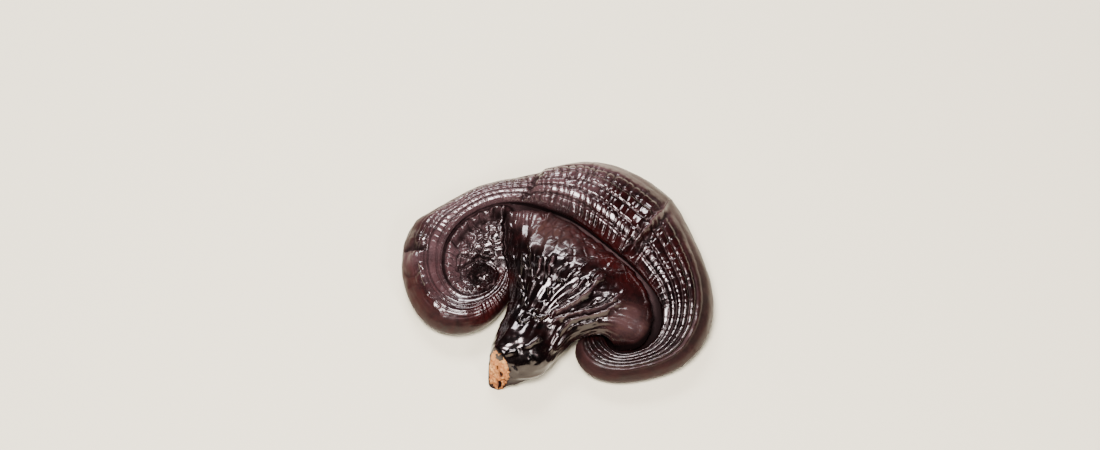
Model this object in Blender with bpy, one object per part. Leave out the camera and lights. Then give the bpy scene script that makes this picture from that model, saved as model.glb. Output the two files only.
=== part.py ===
"""A dried reishi mushroom, lying as it was cut: a kidney-shaped cap with two curled lobes, on a short stem.

Lengths are in millimetres until a mesh is made. X runs to the right and is the longest extent, Y runs from
the stem's cut end towards the back of the cap, and Z is up from the surface that the mushroom lies on.
"""

import math

import bmesh
import bpy
import numpy as np
from mathutils import Vector, geometry

MM = 0.001
SAME_PLACE = 1e-7

# The middle of the plan in the coordinates below, which becomes the origin
MIDDLE = Vector((0.16, 0.66, 0.0))

# How finely the solids are faceted
STEPS_ALONG_BAND = 87
STEPS_ACROSS_FAN = 42
STEPS_ALONG_FAN = 10
STEPS_ALONG_STEM = 6
FLOOR_SPACING = 3.6
FLOOR_CLEARANCE = 0.6
BAND_STATIONS_A_BORDER_POINT = 3

# The growth rings on the band: their number, how far across it they reach, their height and the fraction of
# the width and the number of stations over which they fade out
RINGS = 8
RINGS_END = 0.80
RING_HEIGHT_A_WIDTH = 0.022
RING_FADE_ACROSS = 0.12
RING_FADE_STATIONS = 2.0

# Folds that cross the band, each at a station, with its height and its spread in stations
BAND_FOLDS = ((17.3, 1.1, 0.22), (16.5, -0.5, 0.35), (20.6, 0.5, 0.5), (9.6, 0.4, 0.5))

# The one place where a later growth stands on the earlier one: its station at the lip, how far it slants to
# the edge, how sharp and high its step is, and the stations over which the step is lost again
OVERLAP_AT = 13.1
OVERLAP_SLANT = 0.6
OVERLAP_SHARPNESS = 0.12
OVERLAP_HEIGHT = 0.9
OVERLAP_GONE_AT = 17.0
OVERLAP_SETTLES_IN = 3.0

# The fan's radial wrinkles: their number, height, how they wander and their strength at rows from the cut end
WRINKLES = 13
WRINKLE_HEIGHT = 0.55
WRINKLE_WANDER = 0.5
WRINKLE_WANDERS_A_ROW = 2.3
WRINKLE_STRENGTH = ((0.0, 0.1), (1.2, 0.3), (2.0, 0.8), (2.6, 1.0), (3.4, 0.8), (4.0, 0.2))

# The fan's rim is buried in the floor: how far it drops below the edge, the height that it stays under, and
# the height that it stays over at each y
FAN_RIM_DROP = 3.5
FAN_RIM_HIGHEST = 11.0
FAN_RIM_LOWEST = ((-30.0, 5.5), (-15.0, 9.3))
FAN_RIM_SPREAD = 1.6

# How far the rolled edge curls under, the depth of the flesh below the lip with the least and the rise above
# the foot that it keeps, and the lip's overhang
EDGE_CURL = 4.0
EDGE_TURNS = (30, 60, 90)
FLESH = 10.0
FLESH_LEAST = 4.0
FLESH_RISE = 2.5
LIP_UNDERCUT = 1.2

# The band's cross-section: how far across its crest and the two bends of its underside lie, where the smooth
# margin is sampled, and the roundness of its shoulders on the lip's side and on the edge's
CREST_AT = 0.36
UNDER_OUTER_AT = 0.45
UNDER_INNER_AT = 0.12
MARGIN_SAMPLES = (0.35, 0.62, 0.82, 0.94, 1.0)
MARGIN_CROWDING = 1.6
LIP_SHOULDER = (2.2, 0.75)
EDGE_SHOULDER = (2.3, 0.62)

# How deep the floor lies below the lip: the valley of the left curl, the crevice round the fan, and the
# right curl's end; and the least thickness of the floor
FLOOR_DEPTH = ((0, 3.0), (11, 3.0), (13, 6.0), (20, 6.0), (24, 3.8), (29, 3.5))
FLOOR_LEAST = 2.5

# The stem is parted from the cap by a plane across the neck
NECK_DIRECTION = Vector((0.6, 0.8, 0.0))
NECK_AT = -26.0
NECK_GAP = 0.3

# The cap's band, from the left curl over the back to the right curl: its inner lip and its outer edge
BAND_LIP = (
    (-21.9, 2.0, 9.0), (-23.0, -2.3, 9.5), (-25.4, -6.7, 10.0), (-29.7, -10.0, 11.0), (-35.5, -11.2, 11.5),
    (-40.6, -8.3, 12.0), (-43.8, -3.6, 12.5), (-44.9, 2.4, 13.0), (-44.1, 9.1, 14.0), (-41.0, 15.7, 15.0),
    (-35.5, 21.4, 16.0), (-27.3, 25.5, 17.5), (-19.1, 26.8, 18.5), (-11.3, 25.7, 19.5), (-2.7, 22.7, 20.0),
    (7.0, 17.8, 20.0), (16.8, 9.9, 19.5), (24.6, 3.0, 19.0), (31.2, -3.6, 18.0), (36.3, -10.3, 17.0),
    (39.5, -16.5, 16.0), (40.6, -22.4, 14.5), (39.5, -28.0, 12.5), (35.9, -33.0, 11.0), (30.9, -35.5, 10.0),
    (25.0, -36.2, 9.5), (21.1, -33.9, 9.5), (19.1, -30.7, 9.5), (18.4, -28.2, 9.0), (18.0, -25.0, 8.5),
)
BAND_EDGE = (
    (-16.8, 3.0, 8.0), (-16.5, -4.5, 6.5), (-19.5, -12.0, 6.0), (-26.2, -19.9, 5.5), (-37.0, -24.6, 5.0),
    (-48.5, -21.8, 5.0), (-56.3, -12.5, 5.5), (-60.2, 0.0, 5.5), (-60.2, 12.0, 6.0), (-56.5, 22.5, 6.0),
    (-47.0, 29.0, 6.0), (-35.5, 35.7, 6.0), (-23.5, 39.5, 6.0), (-11.5, 42.0, 6.0), (1.5, 46.0, 6.5),
    (16.5, 48.5, 7.0), (31.0, 44.0, 7.0), (43.7, 35.0, 6.5), (51.5, 21.5, 6.5), (57.5, 6.0, 6.5),
    (60.8, -9.0, 6.0), (59.8, -21.2, 5.5), (55.5, -31.0, 5.0), (47.5, -39.0, 4.5), (37.0, -43.3, 4.0),
    (26.0, -45.2, 4.0), (16.0, -44.0, 4.3), (9.5, -39.5, 5.0), (6.8, -33.5, 5.5), (6.5, -27.0, 6.0),
)
# The height of the band's crest at those stations, and of the underside of its rolled edge
BAND_CREST = (
    10.0, 10.5, 11.5, 12.5, 13.0, 13.5, 14.0, 14.5, 15.5, 17.0, 18.5, 20.5, 22.0, 23.5, 25.5,
    26.5, 26.5, 25.5, 24.0, 22.0, 20.0, 17.5, 15.0, 13.0, 12.0, 11.5, 11.3, 11.0, 10.5, 10.0,
)
BAND_FOOT = (
    4.0, 3.2, 2.5, 2.0, 1.6, 1.4, 1.4, 1.5, 1.6, 1.4, 0.8, 0.0, -0.5, 0.2, 1.0,
    1.2, 0.5, -0.5, 0.3, 1.5, 2.0, 1.8, 1.2, 0.2, -0.5, -0.2, 0.8, 1.8, 2.5, 3.0,
)

# The stem and the fan, as one growth: rows across it from the cut end to the fan's edge, each given by its
# upper side from left to right and its under side from right to left
STEM_AND_FAN = (
    (
        ((-26.6, -39.8, 8.0), (-25.4, -37.1, 13.5), (-22.7, -37.0, 16.5), (-19.5, -41.3, 14.5),
         (-18.0, -45.8, 7.5)),
        ((-18.0, -45.8, 7.5), (-20.3, -47.0, 2.5), (-23.4, -46.9, -0.4), (-26.2, -44.5, 1.0),
         (-26.6, -39.8, 8.0)),
    ),
    (
        ((-23.8, -27.9, 8.5), (-22.3, -27.9, 14.0), (-18.0, -29.8, 18.0), (-12.9, -34.1, 18.5),
         (-7.8, -39.5, 16.0), (-5.1, -42.4, 11.0), (-4.7, -42.8, 7.0)),
        ((-4.7, -42.8, 7.0), (-7.5, -40.0, 2.0), (-14.0, -34.5, 0.5), (-20.5, -29.5, 2.5),
         (-23.8, -27.9, 8.5)),
    ),
    (
        ((-19.1, -13.8, 9.0), (-17.2, -13.2, 13.5), (-13.7, -15.7, 17.0), (-9.0, -19.5, 19.0),
         (-4.3, -22.9, 18.5), (0.0, -26.7, 16.5), (3.1, -30.8, 13.5), (5.1, -31.8, 9.0)),
        ((5.1, -31.8, 9.0), (1.5, -29.0, 4.5), (-5.0, -23.5, 3.0), (-12.0, -18.0, 4.0), (-19.1, -13.8, 9.0)),
    ),
    (
        ((-18.4, 3.4, 12.0), (-16.0, 3.9, 17.5), (-10.9, 3.2, 21.0), (-1.2, -2.3, 23.5), (9.0, -8.0, 24.0),
         (16.4, -15.2, 22.5), (19.9, -21.9, 20.0), (19.9, -26.8, 17.5), (16.8, -29.6, 13.0)),
        ((16.8, -29.6, 13.0), (14.0, -22.0, 10.5), (8.0, -10.0, 10.5), (-4.0, -2.5, 10.0),
         (-18.4, 3.4, 12.0)),
    ),
    (
        ((-19.1, 24.1, 14.5), (-15.6, 24.2, 17.5), (-9.4, 23.8, 19.0), (0.0, 20.8, 19.5), (11.3, 13.4, 19.0),
         (21.9, 4.9, 18.0), (31.2, -4.1, 16.5), (36.3, -14.1, 15.0), (37.5, -22.2, 13.5), (35.2, -28.6, 12.0),
         (29.7, -32.2, 10.5), (22.3, -32.3, 9.0)),
        ((22.3, -32.3, 9.0), (30.0, -29.0, 9.0), (33.0, -15.0, 10.0), (20.0, 2.0, 11.5), (0.0, 17.0, 12.0),
         (-19.1, 24.1, 14.5)),
    ),
)

# Where the cap's floor lies between the band and the fan: the pit of the left curl, the slope round it and
# the ground under the fan
FLOOR = (
    (-27.3, 0.3, 6.5), (-34.0, 4.9, 10.5), (-37.5, 8.5, 11.5), (-33.0, 14.0, 14.5), (-26.5, 19.5, 16.8),
    (-22.3, 9.4, 12.5), (-23.6, 5.0, 9.0), (-20.5, 16.5, 15.5), (-38.5, -1.0, 9.8), (-33.2, -5.0, 9.3),
    (-28.5, -4.6, 8.2), (-21.0, 22.5, 17.0), (0.0, 5.0, 15.0), (15.0, -2.0, 15.0), (26.0, -14.0, 12.5),
    (12.0, -16.0, 12.0),
)
# The free side of the floor, hidden in the fan's root, from the right curl to the left one; how far across
# the band the floor's border is buried, and how many stations it stops short of the band's ends
FLOOR_ROOT = ((11.0, -21.0, 12.0), (3.0, -13.0, 13.0), (-6.0, -6.0, 13.0), (-13.5, -1.0, 11.0))
FLOOR_BORDER_AT = 0.34
FLOOR_INSET = 0.4

# How the floor's border lies inside the band: below its crest, above its underside (which lies at the first
# fraction from the foot to the lip's side) and, at the lip, set in above the band's inner bottom
FLOOR_BELOW_CREST = 3.0
FLOOR_BORDER_RISE = 0.65
FLOOR_BURIED_BY = 1.0
FLOOR_SET_IN = 0.4
# Its underside: the middle of the hollow, the back of the pit and the root
UNDERSIDE = ((6.0, 6.0, 8.5), (-12.0, 12.0, 8.5), (20.0, -6.0, 8.5), (-27.3, 0.3, 2.8), (-34.0, 8.0, 5.0))
UNDERSIDE_AT_ROOT = 8.0

LACQUER = ("black-red lacquered crust", (0.035, 0.012, 0.012, 1.0), 0.32)
STEM_LACQUER = ("black lacquered stem", (0.022, 0.010, 0.010, 1.0), 0.30)


def spline(points, at):
    """Reads a natural cubic spline through evenly numbered points at each place in `at`."""
    points = np.asarray(points, float)
    last = len(points) - 1
    system = np.eye(last + 1)
    turn = np.zeros_like(points)
    for i in range(1, last):
        system[i, i - 1:i + 2] = 1, 4, 1
        turn[i] = 6 * (points[i - 1] - 2 * points[i] + points[i + 1])
    bend = np.linalg.solve(system, turn)
    at = np.clip(np.asarray(at, float), 0, last)
    low = np.minimum(at.astype(int), last - 1)
    b = at - low
    if points.ndim > 1:
        b = b[..., None]
    a = 1 - b
    curve = a * points[low] + b * points[low + 1]
    return curve + ((a**3 - a) * bend[low] + (b**3 - b) * bend[low + 1]) / 6


def band_relief(stations, width, across):
    """The height of the growth rings, folds and overlap at the fraction `across` of the band's width."""
    ends = np.clip(np.minimum(stations, len(BAND_LIP) - 1 - stations) / RING_FADE_STATIONS, 0, 1)
    fade = np.clip((RINGS_END - across) / RING_FADE_ACROSS, 0, 1)
    height = RING_HEIGHT_A_WIDTH * width * ends * fade * np.cos(2 * math.pi * RINGS * across / RINGS_END)
    rise = math.sin(math.pi * min(max(across, 0.0), 1.0)) ** 0.5
    for station, fold, spread in BAND_FOLDS:
        height += fold * rise * np.exp(-((stations - station) / spread)**2)
    step = 0.5 + 0.5 * np.tanh((stations - OVERLAP_AT - OVERLAP_SLANT * across) / OVERLAP_SHARPNESS)
    settle = np.clip((OVERLAP_GONE_AT - stations) / OVERLAP_SETTLES_IN, 0, 1)
    return height + OVERLAP_HEIGHT * rise * step * settle


def shoulder(away, flatness, steepness):
    """The share of the crest's height that is left at the fraction `away` from the crest to a side."""
    return (1 - away**flatness)**steepness


def inner_underside(lip, foot):
    """The height of the band's underside near its lip."""
    return np.minimum(np.maximum(foot + FLESH_RISE, lip[:, 2] - FLESH), lip[:, 2] - FLESH_LEAST)


def band_sections(stations):
    """The band's closed cross-sections at each station: over the top, round the edge and back underneath."""
    lip = spline(BAND_LIP, stations)
    edge = spline(BAND_EDGE, stations)
    crest = spline(BAND_CREST, stations)
    foot = spline(BAND_FOOT, stations)
    out = edge[:, :2] - lip[:, :2]
    width = np.linalg.norm(out, axis=1)
    out = out / width[:, None]

    half_steps = np.arange(2 * RINGS + 1) / (2 * RINGS) * RINGS_END
    margin = 1 - (1 - RINGS_END) * (1 - np.array(MARGIN_SAMPLES))**MARGIN_CROWDING
    section = []
    for across in np.concatenate([half_steps, margin]):
        if across < CREST_AT:
            swell = shoulder((CREST_AT - across) / CREST_AT, *LIP_SHOULDER)
            height = lip[:, 2] + (crest - lip[:, 2]) * swell
        else:
            swell = shoulder((across - CREST_AT) / (1 - CREST_AT), *EDGE_SHOULDER)
            height = edge[:, 2] + (crest - edge[:, 2]) * swell
        section.append((across * width, height + band_relief(stations, width, across)))
    for turn in EDGE_TURNS:
        angle = math.radians(turn)
        section.append((
            width - EDGE_CURL * (1 - math.cos(angle)),
            edge[:, 2] - (edge[:, 2] - foot) * math.sin(angle),
        ))
    inner = inner_underside(lip, foot)
    section.append((UNDER_OUTER_AT * width, 0.5 * (foot + inner)))
    section.append((UNDER_INNER_AT * width, inner))
    section.append((np.full_like(width, LIP_UNDERCUT), 0.5 * (lip[:, 2] + inner)))

    grid = np.empty((len(stations), len(section), 3))
    for column, (distance, height) in enumerate(section):
        grid[:, column, :2] = lip[:, :2] + out * np.asarray(distance)[:, None]
        grid[:, column, 2] = height
    return grid


def fan_sections():
    """The closed rows of the stem and fan, from the cut end to the fan's edge and its buried rim."""
    over = np.linspace(0, 1, STEPS_ACROSS_FAN + 1)
    under = np.linspace(0, 1, STEPS_ACROSS_FAN // 3 + 1)[1:-1]
    loops = []
    for upper, lower in STEM_AND_FAN:
        top = spline(upper, over * (len(upper) - 1))
        bottom = spline(lower, under * (len(lower) - 1))
        loops.append(np.concatenate([top, bottom]))
    loops = np.array(loops)

    stem_rows = np.linspace(0, 2, STEPS_ALONG_STEM + 1)[:-1]
    fan_rows = np.linspace(2, 4, STEPS_ALONG_FAN + 1)
    rows = np.concatenate([stem_rows, fan_rows])
    grid = np.empty((len(rows), loops.shape[1], 3))
    for column in range(loops.shape[1]):
        grid[:, column] = spline(loops[:, column], rows)

    strength = np.interp(rows, *np.transpose(WRINKLE_STRENGTH))
    side = np.sin(math.pi * over)**0.5
    wander = WRINKLE_WANDER * np.sin(rows * WRINKLE_WANDERS_A_ROW)
    for row in range(len(rows)):
        ridge = np.sin(2 * math.pi * WRINKLES * over + wander[row])
        grid[row, :len(over), 2] += WRINKLE_HEIGHT * strength[row] * side * ridge
    rim = grid[-1].copy()
    middle = rim.mean(axis=0)
    away = rim[:, :2] - middle[:2]
    rim[:, :2] += FAN_RIM_SPREAD * away / np.linalg.norm(away, axis=1)[:, None]
    rim[:, 2] = np.minimum(rim[:, 2] - FAN_RIM_DROP, FAN_RIM_HIGHEST)
    rim[:, 2] = np.maximum(rim[:, 2], np.interp(rim[:, 1], *np.transpose(FAN_RIM_LOWEST)))
    return np.concatenate([grid, rim[None]])


def thin_plate(points, places):
    """Heights at `places` of the smooth sheet through the given points."""
    points = np.asarray(points, float)

    def kernel(a, b):
        square = ((a[:, None, :] - b[None, :, :])**2).sum(axis=2)
        return 0.5 * square * np.log(square + 1e-9)

    count = len(points)
    system = np.zeros((count + 3, count + 3))
    system[:count, :count] = kernel(points[:, :2], points[:, :2])
    system[:count, count] = system[count, :count] = 1
    system[:count, count + 1:] = points[:, :2]
    system[count + 1:, :count] = points[:, :2].T
    weights = np.linalg.solve(system, np.concatenate([points[:, 2], np.zeros(3)]))
    bent = kernel(places, points[:, :2]) @ weights[:count]
    return bent + weights[count] + places @ weights[count + 1:]


def mesh_object(name, verts, faces, material):
    """A mesh object in metres from millimetre points, with its faces turned outwards."""
    mesh = bpy.data.meshes.new(name)
    mesh.from_pydata([(Vector(v) - MIDDLE) * MM for v in verts], [], faces)
    tidy = bmesh.new()
    tidy.from_mesh(mesh)
    bmesh.ops.recalc_face_normals(tidy, faces=tidy.faces)
    tidy.to_mesh(mesh)
    tidy.free()
    thing = bpy.data.objects.new(name, mesh)
    thing.data.materials.append(material)
    bpy.context.collection.objects.link(thing)
    return thing


def loft(name, grid, material):
    """Closes a grid of cross-section loops into a solid, with a flat face at each end."""
    rows, columns = grid.shape[:2]
    faces = []
    for row in range(rows - 1):
        for column in range(columns):
            nxt = (column + 1) % columns
            faces.append((
                row * columns + column,
                row * columns + nxt,
                (row + 1) * columns + nxt,
                (row + 1) * columns + column,
            ))
    faces.append(tuple(range(columns)))
    faces.append(tuple(reversed(range((rows - 1) * columns, rows * columns))))
    return mesh_object(name, grid.reshape(-1, 3), faces, material)


def fan_solid(material):
    """The stem and fan as one closed body, its buried rim sewn top to bottom."""
    grid = fan_sections()
    rows, columns = grid.shape[:2]
    tops = STEPS_ACROSS_FAN + 1
    faces = []
    for row in range(rows - 1):
        for column in range(columns):
            nxt = (column + 1) % columns
            faces.append((
                row * columns + column,
                row * columns + nxt,
                (row + 1) * columns + nxt,
                (row + 1) * columns + column,
            ))
    faces.append(tuple(range(columns)))
    last = (rows - 1) * columns
    top = [last + i for i in range(tops)]
    bottom = [last + i for i in range(columns - 1, tops - 1, -1)]
    faces += zip_strip(top, [top[0]] + bottom + [top[-1]])
    return mesh_object("fan", grid.reshape(-1, 3), faces, material)


def zip_strip(first, second):
    """Triangles between two chains of points that share both their ends."""
    faces = []
    i = j = 0
    while i < len(first) - 1 or j < len(second) - 1:
        step_first = (i + 1) / (len(first) - 1)
        step_second = (j + 1) / (len(second) - 1)
        if step_first <= step_second:
            face = (first[i], first[i + 1], second[j])
            i += 1
        else:
            face = (first[i], second[j + 1], second[j])
            j += 1
        if len(set(face)) == 3:
            faces.append(face)
    return faces


def floor_solid(material):
    """The flesh inside the band, its rim hidden in the band and in the fan's root."""
    steps = STEPS_ALONG_BAND // BAND_STATIONS_A_BORDER_POINT
    stations = np.linspace(FLOOR_INSET, len(BAND_LIP) - 1 - FLOOR_INSET, steps + 1)
    lip = spline(BAND_LIP, stations)
    edge = spline(BAND_EDGE, stations)
    crest = spline(BAND_CREST, stations)
    foot = spline(BAND_FOOT, stations)
    inner = inner_underside(lip, foot)
    root = np.array(FLOOR_ROOT)
    border = lip + FLOOR_BORDER_AT * (edge - lip)
    buried = FLOOR_BORDER_RISE * inner + (1 - FLOOR_BORDER_RISE) * foot + FLOOR_BURIED_BY
    rim_top = np.concatenate([crest - FLOOR_BELOW_CREST, root[:, 2]])
    rim_bottom = np.concatenate([buried, np.full(len(root), UNDERSIDE_AT_ROOT)])
    border = np.concatenate([border, root])

    gutter = lip.copy()
    gutter[:, 2] -= np.interp(stations, *np.transpose(FLOOR_DEPTH))
    known_top = np.concatenate([np.column_stack([border[:, :2], rim_top]), gutter[1:-1], FLOOR])
    gutter[:, 2] = inner + FLOOR_SET_IN
    known_bottom = np.concatenate([np.column_stack([border[:, :2], rim_bottom]), gutter[1:-1], UNDERSIDE])

    inside = grid_inside(border[:, :2])
    ring = [(i, (i + 1) % len(border)) for i in range(len(border))]
    flat = [Vector(p) for p in border[:, :2]] + [Vector(p) for p in inside]
    flat, _, faces, _, _, _ = geometry.delaunay_2d_cdt(flat, ring, [], 1, 1e-6)
    places = np.array([(p.x, p.y) for p in flat])
    count, rim = len(places), len(border)

    top = thin_plate(known_top, places)
    bottom = np.minimum(thin_plate(known_bottom, places), top - FLOOR_LEAST)
    verts = np.column_stack([np.tile(places, (2, 1)), np.concatenate([top, bottom])])
    solid = [tuple(face) for face in faces]
    solid += [tuple(count + i for i in reversed(face)) for face in faces]
    solid += [(i, (i + 1) % rim, count + (i + 1) % rim, count + i) for i in range(rim)]
    return mesh_object("floor", verts, solid, material)


def grid_inside(outline):
    """Points of a triangular grid that lie inside an outline and clear of it."""
    low, high = outline.min(axis=0), outline.max(axis=0)
    rows = np.arange(low[1], high[1], FLOOR_SPACING * math.sqrt(3) / 2)
    places = []
    for number, y in enumerate(rows):
        start = low[0] + (0.5 if number % 2 else 1.0) * FLOOR_SPACING
        for x in np.arange(start, high[0], FLOOR_SPACING):
            if clear_of(outline, (x, y), FLOOR_CLEARANCE * FLOOR_SPACING):
                places.append((x, y))
    return places


def clear_of(outline, place, margin):
    """Whether a place is inside a closed outline and at least `margin` from it."""
    x, y = place
    crossings = 0
    nearest = math.inf
    for a, b in zip(outline, np.roll(outline, -1, axis=0)):
        if (a[1] > y) != (b[1] > y):
            if x < a[0] + (y - a[1]) * (b[0] - a[0]) / (b[1] - a[1]):
                crossings += 1
        along = np.clip(np.dot((x - a[0], y - a[1]), b - a) / np.dot(b - a, b - a), 0, 1)
        foot = a + along * (b - a)
        nearest = min(nearest, math.hypot(x - foot[0], y - foot[1]))
    return crossings % 2 == 1 and nearest > margin


def cut(thing, at, direction):
    """Cuts a solid flat through `at` (mm), keeping the side that `direction` points away from."""
    solid = bmesh.new()
    solid.from_mesh(thing.data)
    everything = solid.verts[:] + solid.edges[:] + solid.faces[:]
    place = (Vector(at) - MIDDLE) * MM
    made = bmesh.ops.bisect_plane(
        solid, geom=everything, plane_co=place, plane_no=direction, clear_outer=True, dist=SAME_PLACE
    )
    edges = [e for e in made["geom_cut"] if isinstance(e, bmesh.types.BMEdge)]
    bmesh.ops.holes_fill(solid, edges=edges)
    bmesh.ops.recalc_face_normals(solid, faces=solid.faces)
    solid.to_mesh(thing.data)
    solid.free()


def unite(body, *others):
    """Joins other solids to a body with exact Boolean unions, and removes them."""
    for other in others:
        join = body.modifiers.new("union", "BOOLEAN")
        join.operation = "UNION"
        join.solver = "EXACT"
        join.object = other
        shape = bpy.data.meshes.new_from_object(body.evaluated_get(bpy.context.evaluated_depsgraph_get()))
        body.modifiers.clear()
        body.data = shape
        bpy.data.objects.remove(other)


def lacquer(name, colour, roughness):
    """A Principled material with one colour and roughness."""
    material = bpy.data.materials.new(name)
    material.use_nodes = True
    shader = material.node_tree.nodes["Principled BSDF"]
    shader.inputs["Base Color"].default_value = colour
    shader.inputs["Roughness"].default_value = roughness
    return material


def main():
    for thing in list(bpy.data.objects):
        bpy.data.objects.remove(thing)
    crust = lacquer(*LACQUER)
    stem_crust = lacquer(*STEM_LACQUER)

    band = loft("cap", band_sections(np.linspace(0, len(BAND_LIP) - 1, STEPS_ALONG_BAND + 1)), crust)
    floor = floor_solid(crust)
    fan = fan_solid(crust)
    stem = fan.copy()
    stem.data = fan.data.copy()
    stem.name = stem.data.name = "stem"
    stem.data.materials[0] = stem_crust
    bpy.context.collection.objects.link(stem)

    cut(fan, NECK_DIRECTION * NECK_AT, -NECK_DIRECTION)
    cut(stem, NECK_DIRECTION * (NECK_AT - NECK_GAP), NECK_DIRECTION)
    unite(band, floor, fan)
    for piece in (band, stem):
        cut(piece, (0, 0, 0), Vector((0, 0, -1)))
        piece.data.shade_smooth()


main()
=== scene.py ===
"""Dresses the dried reishi mushroom: its lacquered crust, pore surface and cut flesh, lying on a pale floor.

Lengths are in millimetres until a mesh is made. X runs to the right, Y from the stem's cut end towards the back
of the cap and Z up from the floor. The forms repeat the construction's own named values at a finer step.
"""

import logging
import math
from dataclasses import dataclass, field
from enum import Enum
from typing import Sequence

import bmesh
import bpy
import numpy as np
from mathutils import Matrix, Vector, geometry


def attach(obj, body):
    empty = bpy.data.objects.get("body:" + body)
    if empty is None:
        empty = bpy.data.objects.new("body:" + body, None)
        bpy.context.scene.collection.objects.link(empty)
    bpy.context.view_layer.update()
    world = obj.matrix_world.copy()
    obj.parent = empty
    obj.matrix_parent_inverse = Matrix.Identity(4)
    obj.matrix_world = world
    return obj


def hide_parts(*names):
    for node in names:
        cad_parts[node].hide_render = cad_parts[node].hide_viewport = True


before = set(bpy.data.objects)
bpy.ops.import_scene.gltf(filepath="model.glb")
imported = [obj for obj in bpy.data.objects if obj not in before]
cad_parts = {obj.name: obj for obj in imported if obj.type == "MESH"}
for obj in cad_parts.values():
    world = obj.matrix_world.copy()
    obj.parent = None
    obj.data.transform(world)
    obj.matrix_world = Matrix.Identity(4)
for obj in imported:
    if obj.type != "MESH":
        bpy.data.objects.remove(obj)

log = logging.getLogger("reishi")

MM = 0.001
ROOT = "root"

# The middle of the plan in the coordinates below, which is the origin of the frame
MIDDLE = np.array([0.16, 0.66, 0.0])

# The cap's band, from the left curl over the back to the right curl: its inner lip and its outer edge
BAND_LIP = (
    (-21.9, 2.0, 9.0), (-23.0, -2.3, 9.5), (-25.4, -6.7, 10.0), (-29.7, -10.0, 11.0), (-35.5, -11.2, 11.5),
    (-40.6, -8.3, 12.0), (-43.8, -3.6, 12.5), (-44.9, 2.4, 13.0), (-44.1, 9.1, 14.0), (-41.0, 15.7, 15.0),
    (-35.5, 21.4, 16.0), (-27.3, 25.5, 17.5), (-19.1, 26.8, 18.5), (-11.3, 25.7, 19.5), (-2.7, 22.7, 20.0),
    (7.0, 17.8, 20.0), (16.8, 9.9, 19.5), (24.6, 3.0, 19.0), (31.2, -3.6, 18.0), (36.3, -10.3, 17.0),
    (39.5, -16.5, 16.0), (40.6, -22.4, 14.5), (39.5, -28.0, 12.5), (35.9, -33.0, 11.0), (30.9, -35.5, 10.0),
    (25.0, -36.2, 9.5), (21.1, -33.9, 9.5), (19.1, -30.7, 9.5), (18.4, -28.2, 9.0), (18.0, -25.0, 8.5),
)
BAND_EDGE = (
    (-16.8, 3.0, 8.0), (-16.5, -4.5, 6.5), (-19.5, -12.0, 6.0), (-26.2, -19.9, 5.5), (-37.0, -24.6, 5.0),
    (-48.5, -21.8, 5.0), (-56.3, -12.5, 5.5), (-60.2, 0.0, 5.5), (-60.2, 12.0, 6.0), (-56.5, 22.5, 6.0),
    (-47.0, 29.0, 6.0), (-35.5, 35.7, 6.0), (-23.5, 39.5, 6.0), (-11.5, 42.0, 6.0), (1.5, 46.0, 6.5),
    (16.5, 48.5, 7.0), (31.0, 44.0, 7.0), (43.7, 35.0, 6.5), (51.5, 21.5, 6.5), (57.5, 6.0, 6.5),
    (60.8, -9.0, 6.0), (59.8, -21.2, 5.5), (55.5, -31.0, 5.0), (47.5, -39.0, 4.5), (37.0, -43.3, 4.0),
    (26.0, -45.2, 4.0), (16.0, -44.0, 4.3), (9.5, -39.5, 5.0), (6.8, -33.5, 5.5), (6.5, -27.0, 6.0),
)
BAND_CREST = (
    10.0, 10.5, 11.5, 12.5, 13.0, 13.5, 14.0, 14.5, 15.5, 17.0, 18.5, 20.5, 22.0, 23.5, 25.5,
    26.5, 26.5, 25.5, 24.0, 22.0, 20.0, 17.5, 15.0, 13.0, 12.0, 11.5, 11.3, 11.0, 10.5, 10.0,
)
BAND_FOOT = (
    4.0, 3.2, 2.5, 2.0, 1.6, 1.4, 1.4, 1.5, 1.6, 1.4, 0.8, 0.0, -0.5, 0.2, 1.0,
    1.2, 0.5, -0.5, 0.3, 1.5, 2.0, 1.8, 1.2, 0.2, -0.5, -0.2, 0.8, 1.8, 2.5, 3.0,
)
LAST_STATION = len(BAND_LIP) - 1

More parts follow.
